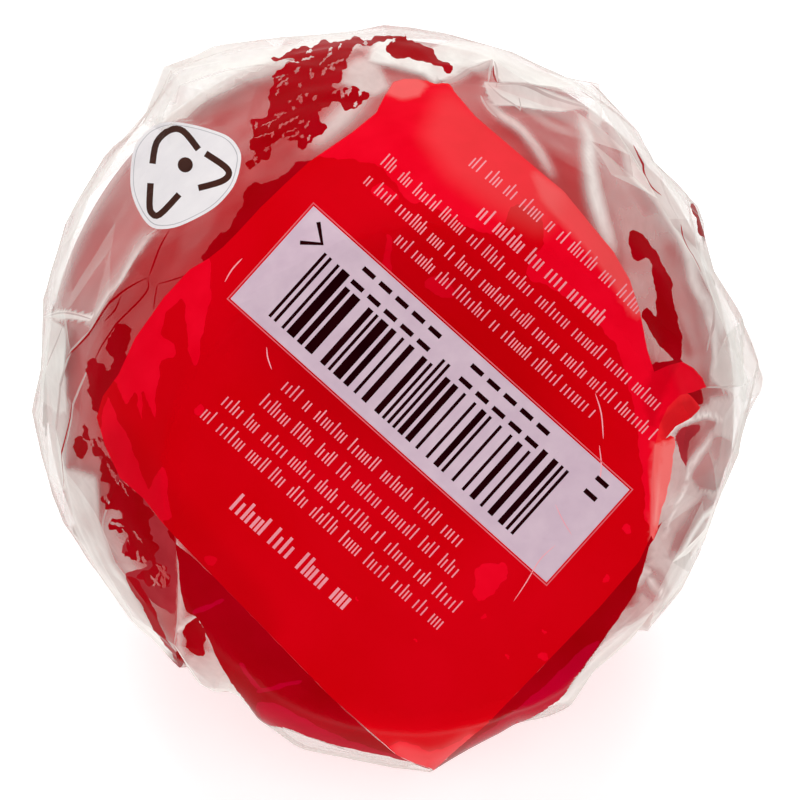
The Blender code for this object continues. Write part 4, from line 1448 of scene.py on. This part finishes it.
def corner_piece(name, haze_start, haze_full, milkiness, outline):
    """A loose corner of the sheet at the rim, standing just off the film."""
    line = divided(outline, 0.8, closed=True)
    low, high = line.min(0), line.max(0)
    grid = np.stack(np.meshgrid(
        np.arange(low[0], high[0], 0.7), np.arange(low[1], high[1], 0.7)
    ), axis=-1).reshape(-1, 2)
    grid = grid[inside(grid, line)]
    grid = grid[off_line(grid, np.vstack([line, line[:1]]))[0] > 0.3]
    places = np.vstack([line, grid])
    edges = [(i, (i + 1) % len(line)) for i in range(len(line))]
    verts, _, faces, _, _, _ = delaunay_2d_cdt(
        [Vector(place) for place in places], edges, [], 0, 1e-5
    )
    places = np.array([tuple(vert) for vert in verts])
    faces = np.array([tuple(face) for face in faces])
    faces = faces[inside(places[faces].mean(axis=1), line)]
    directions = onto_film(places)
    distance = np.linalg.norm(places, axis=1)
    reach = film_reach(directions)
    out = places[:, :1] * VIEW_RIGHT + places[:, 1:] * VIEW_UP
    tilt = 0.6 * ripples(out, (8, 14), 4, SEED + len(name))
    on_film = directions * (reach + 0.25)[:, None]
    rim = out + VIEW_BACK * (1.2 + tilt)[:, None]
    share = ramp(33.2, 34.6, distance)[:, None]
    points = on_film * (1 - share) + rim * share
    made = new_piece(name, points, faces.tolist(), "film_wrap", sharp=12)
    set_value(made, "haze_and_painted_light", milkiness * ramp(haze_start, haze_full, distance))
    return made


def skirt_piece():
    """The loose film behind the tape, flared and crumpled."""
    count, steps = 240, 26
    angles = np.linspace(0, 2 * pi, count, endpoint=False)
    ring = np.stack([np.cos(angles), np.sin(angles), np.zeros(count)], axis=1)
    rng = np.random.default_rng(SEED + 9)
    phases = rng.uniform(0, 2 * pi, 6)
    rows, hazes_and_painted_light = [], []
    for step in range(steps):
        along = step / (steps - 1)
        flare = along**1.2
        fold = sum(
            np.abs(((angles * turns / (2 * pi) + phases[index] + 0.12 * along * index) % 1) * 2 - 1)
            * size
            for index, (turns, size) in enumerate(((7, 2.4), (11, 1.6), (17, 0.9), (29, 0.4)))
        )
        radius = 6.2 + 0.25 * np.sin(angles * 17) + (fold - 1.6) * flare + 2.4 * flare
        # Painted highlights on the folds' crests and in their hollows, given as milkiness over a plain
        # base.
        hazes_and_painted_light.append(0.16 + 0.5 * ramp(3.0, 4.6, fold) + 0.25 * ramp(1.6, 0.6, fold))
        ragged_edge = 1.1 * along * np.sin(angles * 3 + phases[4]) + 0.5 * along * np.sin(
            angles * 8 + phases[5]
        )
        rows.append(ring * radius[:, None] + (0, 0, 1) * (
            NECK_END + 0.2 + 17.2 * along + ragged_edge
        )[:, None])
    made = new_piece(
        "neck_sheet", np.vstack(rows), joined_rows(rows), "film_skirt", sharp=25
    )
    set_value(made, "haze_and_painted_light", np.concatenate(hazes_and_painted_light))
    return made


def tape_piece():
    """The band of clear tape round the neck, with its overlapping end."""
    count, inner, width = 220, NECK_RADIUS + 0.42, 6.4
    turn = 2 * pi * 1.06
    rows = []
    for step in range(count):
        share = step / (count - 1)
        angle = share * turn
        radius = inner + 0.12 * share + 0.06 * sin(angle * 7)
        outward = np.array((cos(angle), sin(angle), 0.0))
        profile = [
            (radius, 42.0), (radius, 42.0 + width), (radius + 0.1, 42.0 + width), (radius + 0.1, 42.0)
        ]
        rows.append([outward * r + np.array((0, 0, z)) for r, z in profile])
    points = np.array(rows).reshape(-1, 3)
    faces = []
    for step in range(count - 1):
        for side in range(4):
            a, b = step * 4 + side, step * 4 + (side + 1) % 4
            faces.append((a, b, b + 4, a + 4))
    faces.append((3, 2, 1, 0))
    end = (count - 1) * 4
    faces.append((end, end + 1, end + 2, end + 3))
    return new_piece("neck_band", points, faces, "neck_tape", sharp=40)


# ---------------------------------------------------------------- materials


class Look:
    """A material under construction."""

    def __init__(self, name):
        self.material = bpy.data.materials.new(name)
        self.material.use_nodes = True
        self.nodes = self.material.node_tree.nodes
        self.links = self.material.node_tree.links
        self.nodes.clear()
        self.output = self.nodes.new("ShaderNodeOutputMaterial")

    def node(self, kind, inputs=None, **settings):
        made = self.nodes.new(kind)
        for name, value in settings.items():
            setattr(made, name, value)
        for name, value in (inputs or {}).items():
            if isinstance(value, bpy.types.NodeSocket):
                self.links.new(value, made.inputs[name])
            else:
                made.inputs[name].default_value = value
        return made

    def maths(self, operation, first, second=None, clamp=False):
        made = self.node("ShaderNodeMath", {0: first}, operation=operation, use_clamp=clamp)
        if second is not None:
            if isinstance(second, bpy.types.NodeSocket):
                self.links.new(second, made.inputs[1])
            else:
                made.inputs[1].default_value = second
        return made.outputs[0]

    def noise(self, scale, detail=3.0, stretch=(1, 1, 1)):
        place = self.node("ShaderNodeTexCoord").outputs["Object"]
        mapped = self.node("ShaderNodeMapping", {"Vector": place, "Scale": stretch})
        return self.node(
            "ShaderNodeTexNoise", {"Vector": mapped.outputs[0], "Scale": scale, "Detail": detail}
        ).outputs["Fac"]

    def blend(self, share, first, second):
        first, second = (
            (*colour, 1) if isinstance(colour, tuple) else colour for colour in (first, second)
        )
        made = self.node("ShaderNodeMix", {0: share, 6: first, 7: second}, data_type="RGBA")
        return made.outputs[2]

    def range(self, value, low, high, to_low=0.0, to_high=1.0):
        return self.node("ShaderNodeMapRange", {
            "Value": value, "From Min": low, "From Max": high, "To Min": to_low, "To Max": to_high,
        }).outputs[0]

    def done(self, shader):
        self.links.new(shader, self.output.inputs["Surface"])
        return self.material


def solid_look(name, first, second, scale, roughness, specular=0.03, ior=1.2, painted_sheen_and_shade=False):
    """An opaque surface whose colour wanders between two close colours."""
    look = Look(name)
    colour = look.blend(look.range(look.noise(scale), 0.3, 0.7), first, second)
    # Painted reflection and painted shade on the print, from its attribute.
    if painted_sheen_and_shade:
        painted_light = look.node("ShaderNodeAttribute", attribute_name="painted_sheen_and_shade").outputs["Fac"]
        colour = look.blend(look.range(painted_light, 0.0, 1.0), colour, PAINTED_SHEEN_INK)
        colour = look.blend(look.range(painted_light, 0.0, -1.0), colour, PAINTED_SHADE_INK)
    rough = look.range(look.noise(scale * 2.3, 4.0), 0.3, 0.7, roughness * 0.8, roughness * 1.2)
    shader = look.node("ShaderNodeBsdfPrincipled", {
        "Base Color": colour, "Roughness": rough, "Specular IOR Level": specular, "IOR": ior,
    })
    return look.done(shader.outputs[0])


# The colours of the painted reflection on the print, and of its painted shade.
PAINTED_SHEEN_INK = (0.95, 0.52, 0.47)
PAINTED_SHADE_INK = (0.34, 0.0, 0.001)
PAINTED_SHEEN_PIECES = ("print_tight", "print_lifted", "print_fold")


# A painted pale rim: white added where the film is seen at a grazing angle.
PAINTED_EDGE_LIGHT = 0.5


def film_look(name, haze_and_painted_light_from, haze_base, tint=(0.96, 0.93, 0.885)):
    """Clear film: see-through, glossy and mirror-like at grazing angles. Its milky part holds the film's
    own milkiness, painted highlights and reflections such as those on creases, and a painted pale rim at
    grazing angles.
    """
    look = Look(name)
    facing = look.node("ShaderNodeLayerWeight", {"Blend": 0.5}).outputs["Facing"]
    mirror = look.maths("MULTIPLY_ADD", look.maths("POWER", facing, 4.6), 0.60)
    look.nodes[-1].inputs[2].default_value = 0.045
    gloss = look.node("ShaderNodeBsdfAnisotropic", {"Color": (*tint, 1), "Roughness": 0.16})
    clear = look.node("ShaderNodeBsdfTransparent", {"Color": (1, 1, 1, 1)})
    film = look.node("ShaderNodeMixShader", {
        0: mirror, 1: clear.outputs[0], 2: gloss.outputs[0]
    })
    milk_and_painted_light = look.node("ShaderNodeBsdfDiffuse", {"Color": (*tint, 1)})
    streaks = look.range(look.noise(1500, 4.0, (1.0, 0.3, 1.0)), 0.35, 0.7, 0.95, 1.05)
    if haze_and_painted_light_from:
        haze_and_painted_light = look.node("ShaderNodeAttribute", attribute_name=haze_and_painted_light_from).outputs["Fac"]
        haze_and_painted_light = look.maths("MULTIPLY", haze_and_painted_light, streaks)
        haze_and_painted_light = look.maths("ADD", haze_and_painted_light, haze_base)
    else:
        haze_and_painted_light = look.maths("MULTIPLY", streaks, haze_base)
    # Painted pale rim at grazing angles.
    edge = look.maths("MULTIPLY", look.maths("POWER", facing, 5.0), PAINTED_EDGE_LIGHT)
    haze_and_painted_light = look.maths("ADD", haze_and_painted_light, edge, clamp=True)
    mixed = look.node("ShaderNodeMixShader", {0: haze_and_painted_light, 1: film.outputs[0], 2: milk_and_painted_light.outputs[0]})
    return look.done(mixed.outputs[0])


def wood_look():
    """Birch with fine grain along the stick."""
    look = Look("birch_wood")
    place = look.node("ShaderNodeTexCoord").outputs["Object"]
    turned = look.node("ShaderNodeMapping", {"Vector": place, "Rotation": (REST_SLOPE, 0, 0)})
    drawn = look.node("ShaderNodeMapping", {"Vector": turned.outputs[0], "Scale": (1.0, 0.025, 1.0)})
    grain = look.node("ShaderNodeTexNoise", {
        "Vector": drawn.outputs[0], "Scale": 2200.0, "Detail": 5.0, "Distortion": 0.3
    }).outputs["Fac"]
    broad = look.node("ShaderNodeTexNoise", {
        "Vector": drawn.outputs[0], "Scale": 450.0, "Detail": 2.0
    }).outputs["Fac"]
    mixed = look.maths("ADD", look.maths("MULTIPLY", grain, 0.6), look.maths("MULTIPLY", broad, 0.4))
    colour = look.blend(look.range(mixed, 0.36, 0.64), (0.58, 0.38, 0.20), (0.80, 0.63, 0.42))
    bump = look.node("ShaderNodeBump", {"Strength": 0.35, "Distance": 0.0001, "Height": grain})
    shader = look.node("ShaderNodeBsdfPrincipled", {
        "Base Color": colour, "Roughness": look.range(grain, 0.3, 0.7, 0.55, 0.75),
        "Normal": bump.outputs[0],
    })
    return look.done(shader.outputs[0])


def finish_pieces(pieces):
    looks = {
        "wrap_film": film_look("clear_film", "haze_and_painted_light", 0.015),
        # Painted crease highlights: film at a fixed milkiness.
        "film_crease": film_look("crease_highlight_film", None, 0.34),
        "film_neck": film_look("neck_film", "haze_and_painted_light", 0.015),
        "neck_sheet": film_look("gathered_film", "haze_and_painted_light", 0.02, (0.82, 0.81, 0.79)),
        "corner_left": film_look("corner_film_left", "haze_and_painted_light", 0.0),
        "corner_right": film_look("corner_film_right", "haze_and_painted_light", 0.0),
        "film_cling": solid_look(
            "toffee_under_film", (0.33, 0.0, 0.002), (0.40, 0.0, 0.006), 160, 0.12),
        "film_cling_bright": solid_look(
            "toffee_under_film_bright", (0.44, 0.0, 0.014), (0.52, 0.0, 0.022), 160, 0.12),
        "film_near": solid_look(
            "toffee_near_film", (0.36, 0.018, 0.026), (0.46, 0.036, 0.046), 220, 0.14),
        "print_fold": solid_look(
            "red_ink_folded", (0.84, 0.010, 0.018), (0.90, 0.020, 0.026), 300, 0.22, painted_sheen_and_shade=True),
        "toffee_apple": solid_look(
            "toffee", (0.44, 0.006, 0.010), (0.54, 0.010, 0.016), 120, 0.14, 0.2, 1.5),
        "print_tight": solid_look(
            "red_ink", (0.61, 0.0, 0.003), (0.67, 0.0, 0.006), 90, 0.16, painted_sheen_and_shade=True),
        "print_lifted": solid_look(
            "red_ink_lifted", (0.80, 0.0, 0.012), (0.86, 0.002, 0.018), 300, 0.22, painted_sheen_and_shade=True),
        "print_panel": solid_look(
            "panel_ink", (0.60, 0.44, 0.53), (0.66, 0.50, 0.58), 500, 0.22),
        "print_keyline": solid_look(
            "keyline_ink", (0.66, 0.10, 0.13), (0.72, 0.15, 0.17), 300, 0.3),
        "print_text": solid_look(
            "pale_text_ink", (0.80, 0.26, 0.30), (0.88, 0.34, 0.38), 300, 0.3),
        "print_scratch": solid_look(
            "scratch", (0.86, 0.30, 0.34), (0.92, 0.42, 0.46), 300, 0.3),
        "print_bars": solid_look(
            "dark_ink", (0.010, 0.0, 0.001), (0.018, 0.001, 0.002), 300, 0.2),
        "print_patch": solid_look(
            "white_ink", (0.78, 0.74, 0.76), (0.84, 0.80, 0.81), 300, 0.25),
        "patch_keyline": solid_look(
            "grey_ink", (0.42, 0.40, 0.42), (0.50, 0.47, 0.50), 300, 0.3),
        "print_mark": solid_look(
            "brown_ink", (0.040, 0.014, 0.010), (0.06, 0.02, 0.014), 300, 0.25),
        "neck_band": film_look("clear_tape", None, 0.22, tint=(0.86, 0.82, 0.70)),
    }
    for name, piece in pieces.items():
        piece.data.materials.append(looks[name])
        opaque = name.startswith(("print", "patch", "film")) and name != "film_neck"
        piece.visible_shadow = not opaque
        piece.visible_diffuse = not opaque
    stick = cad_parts["stick"]
    stick.data.materials.clear()
    stick.data.materials.append(wood_look())


# ---------------------------------------------------------------- light, floor and camera


def add_light(name, place, size, power):
    lamp = bpy.data.lights.new(name, "AREA")
    lamp.shape = "SQUARE"
    lamp.size = size
    lamp.energy = power
    light = bpy.data.objects.new(name, lamp)
    bpy.context.scene.collection.objects.link(light)
    light.location = place
    light.rotation_mode = "QUATERNION"
    aim = Vector(MIDDLE) - Vector(place)
    light.rotation_quaternion = aim.to_track_quat("-Z", "Y")
    light.visible_glossy = False
    light.visible_camera = False
    return light


def build_stage():
    scene = bpy.context.scene
    scene.view_settings.view_transform = "Standard"

    mesh = bpy.data.meshes.new("floor")
    side = 2.5
    mesh.from_pydata([(-side, -side, 0), (side, -side, 0), (side, side, 0), (-side, side, 0)], [],
                     [(0, 1, 2, 3)])
    floor = bpy.data.objects.new("floor", mesh)
    scene.collection.objects.link(floor)
    floor.visible_glossy = False
    look = Look("pale_floor")
    paper = look.node("ShaderNodeBsdfPrincipled", {
        "Base Color": (0.7, 0.7, 0.7, 1), "Roughness": 0.9, "Specular IOR Level": 0.0,
        "Emission Color": (1, 1, 1, 1), "Emission Strength": 0.68,
    })
    place = look.node("ShaderNodeTexCoord").outputs["Object"]
    apart = look.node("ShaderNodeVectorMath", {0: place}, operation="LENGTH").outputs["Value"]
    glow = look.node("ShaderNodeEmission", {"Color": (1, 1, 1, 1), "Strength": 1.0})
    mixed = look.node("ShaderNodeMixShader", {
        0: look.range(apart, 0.10, 0.45), 1: paper.outputs[0], 2: glow.outputs[0]
    })
    mesh.materials.append(look.done(mixed.outputs[0]))

    bpy.ops.mesh.primitive_uv_sphere_add(segments=48, ring_count=24, radius=3.2)
    backdrop = bpy.context.object
    backdrop.name = "backdrop"
    for way in ("glossy", "diffuse", "shadow", "transmission", "volume_scatter"):
        setattr(backdrop, "visible_" + way, False)
    look = Look("pale_backdrop")
    glow = look.node("ShaderNodeEmission", {"Color": (1, 1, 1, 1), "Strength": 1.0})
    backdrop.data.materials.append(look.done(glow.outputs[0]))

    world = bpy.data.worlds.new("soft_dome")
    scene.world = world
    world.use_nodes = True
    nodes, links = world.node_tree.nodes, world.node_tree.links
    nodes.clear()
    output = nodes.new("ShaderNodeOutputWorld")
    background = nodes.new("ShaderNodeBackground")
    place = nodes.new("ShaderNodeTexCoord")
    towards = nodes.new("ShaderNodeVectorMath")
    towards.operation = "DOT_PRODUCT"
    towards.inputs[1].default_value = tuple(VIEW_BACK_ROW)
    spread = nodes.new("ShaderNodeMapRange")
    spread.interpolation_type = "SMOOTHSTEP"
    for name, value in (("From Min", 0.45), ("From Max", -0.80), ("To Min", 0.0), ("To Max", 1.0)):
        spread.inputs[name].default_value = value
    shade = nodes.new("ShaderNodeMix")
    shade.data_type = "RGBA"
    shade.inputs[6].default_value = (0.012, 0.011, 0.011, 1)
    shade.inputs[7].default_value = (1.0, 0.985, 0.96, 1)
    links.new(place.outputs["Generated"], towards.inputs[0])
    links.new(towards.outputs["Value"], spread.inputs["Value"])
    links.new(spread.outputs[0], shade.inputs[0])
    links.new(shade.outputs[2], background.inputs["Color"])
    links.new(background.outputs[0], output.inputs["Surface"])
    patches = nodes.new("ShaderNodeTexNoise")
    patches.inputs["Scale"].default_value = 2.4
    patches.inputs["Detail"].default_value = 1.0
    strength = nodes.new("ShaderNodeMapRange")
    for name, value in (("From Min", 0.40), ("From Max", 0.58), ("To Min", 0.74), ("To Max", 1.04)):
        strength.inputs[name].default_value = value
    links.new(place.outputs["Generated"], patches.inputs["Vector"])
    links.new(patches.outputs["Fac"], strength.inputs["Value"])
    height = nodes.new("ShaderNodeSeparateXYZ")
    links.new(place.outputs["Generated"], height.inputs[0])
    below = nodes.new("ShaderNodeMapRange")
    for name, value in (("From Min", -0.95), ("From Max", -0.25), ("To Min", 0.6), ("To Max", 1.0)):
        below.inputs[name].default_value = value
    links.new(height.outputs["Z"], below.inputs["Value"])
    total = nodes.new("ShaderNodeMath")
    total.operation = "MULTIPLY"
    links.new(strength.outputs[0], total.inputs[0])
    links.new(below.outputs[0], total.inputs[1])
    links.new(total.outputs[0], background.inputs["Strength"])

    middle = Vector(MIDDLE)
    back = Vector(VIEW_BACK_ROW)
    add_light("front_light", middle + back * 1.1 + Vector((0.0, 0.0, 0.15)), 0.9, 8.5)
    add_light("top_light", middle + Vector((0.0, 0.35, 1.1)), 1.0, 10.0)

    camera = bpy.data.cameras.new("camera")
    camera.sensor_width = 36.0
    camera.lens = camera.sensor_width * VIEW_DISTANCE / VIEW_WIDTH
    seen = bpy.data.objects.new("camera", camera)
    scene.collection.objects.link(seen)
    aim = VIEW_RIGHT_ROW * VIEW_AIM[0] + VIEW_UP_ROW * VIEW_AIM[1]
    seen.location = middle + back * VIEW_DISTANCE * MM + Vector(aim) * MM
    seen.rotation_mode = "QUATERNION"
    seen.rotation_quaternion = (-back).to_track_quat("-Z", "Y")
    scene.camera = seen


pieces = build_film()
pieces["toffee_apple"] = toffee_piece()
for corner, shape in CORNERS.items():
    pieces[corner] = corner_piece(corner, *shape)
pieces["film_neck"] = neck_piece()
pieces["neck_sheet"] = skirt_piece()
pieces["neck_band"] = tape_piece()
finish_pieces(pieces)
build_stage()
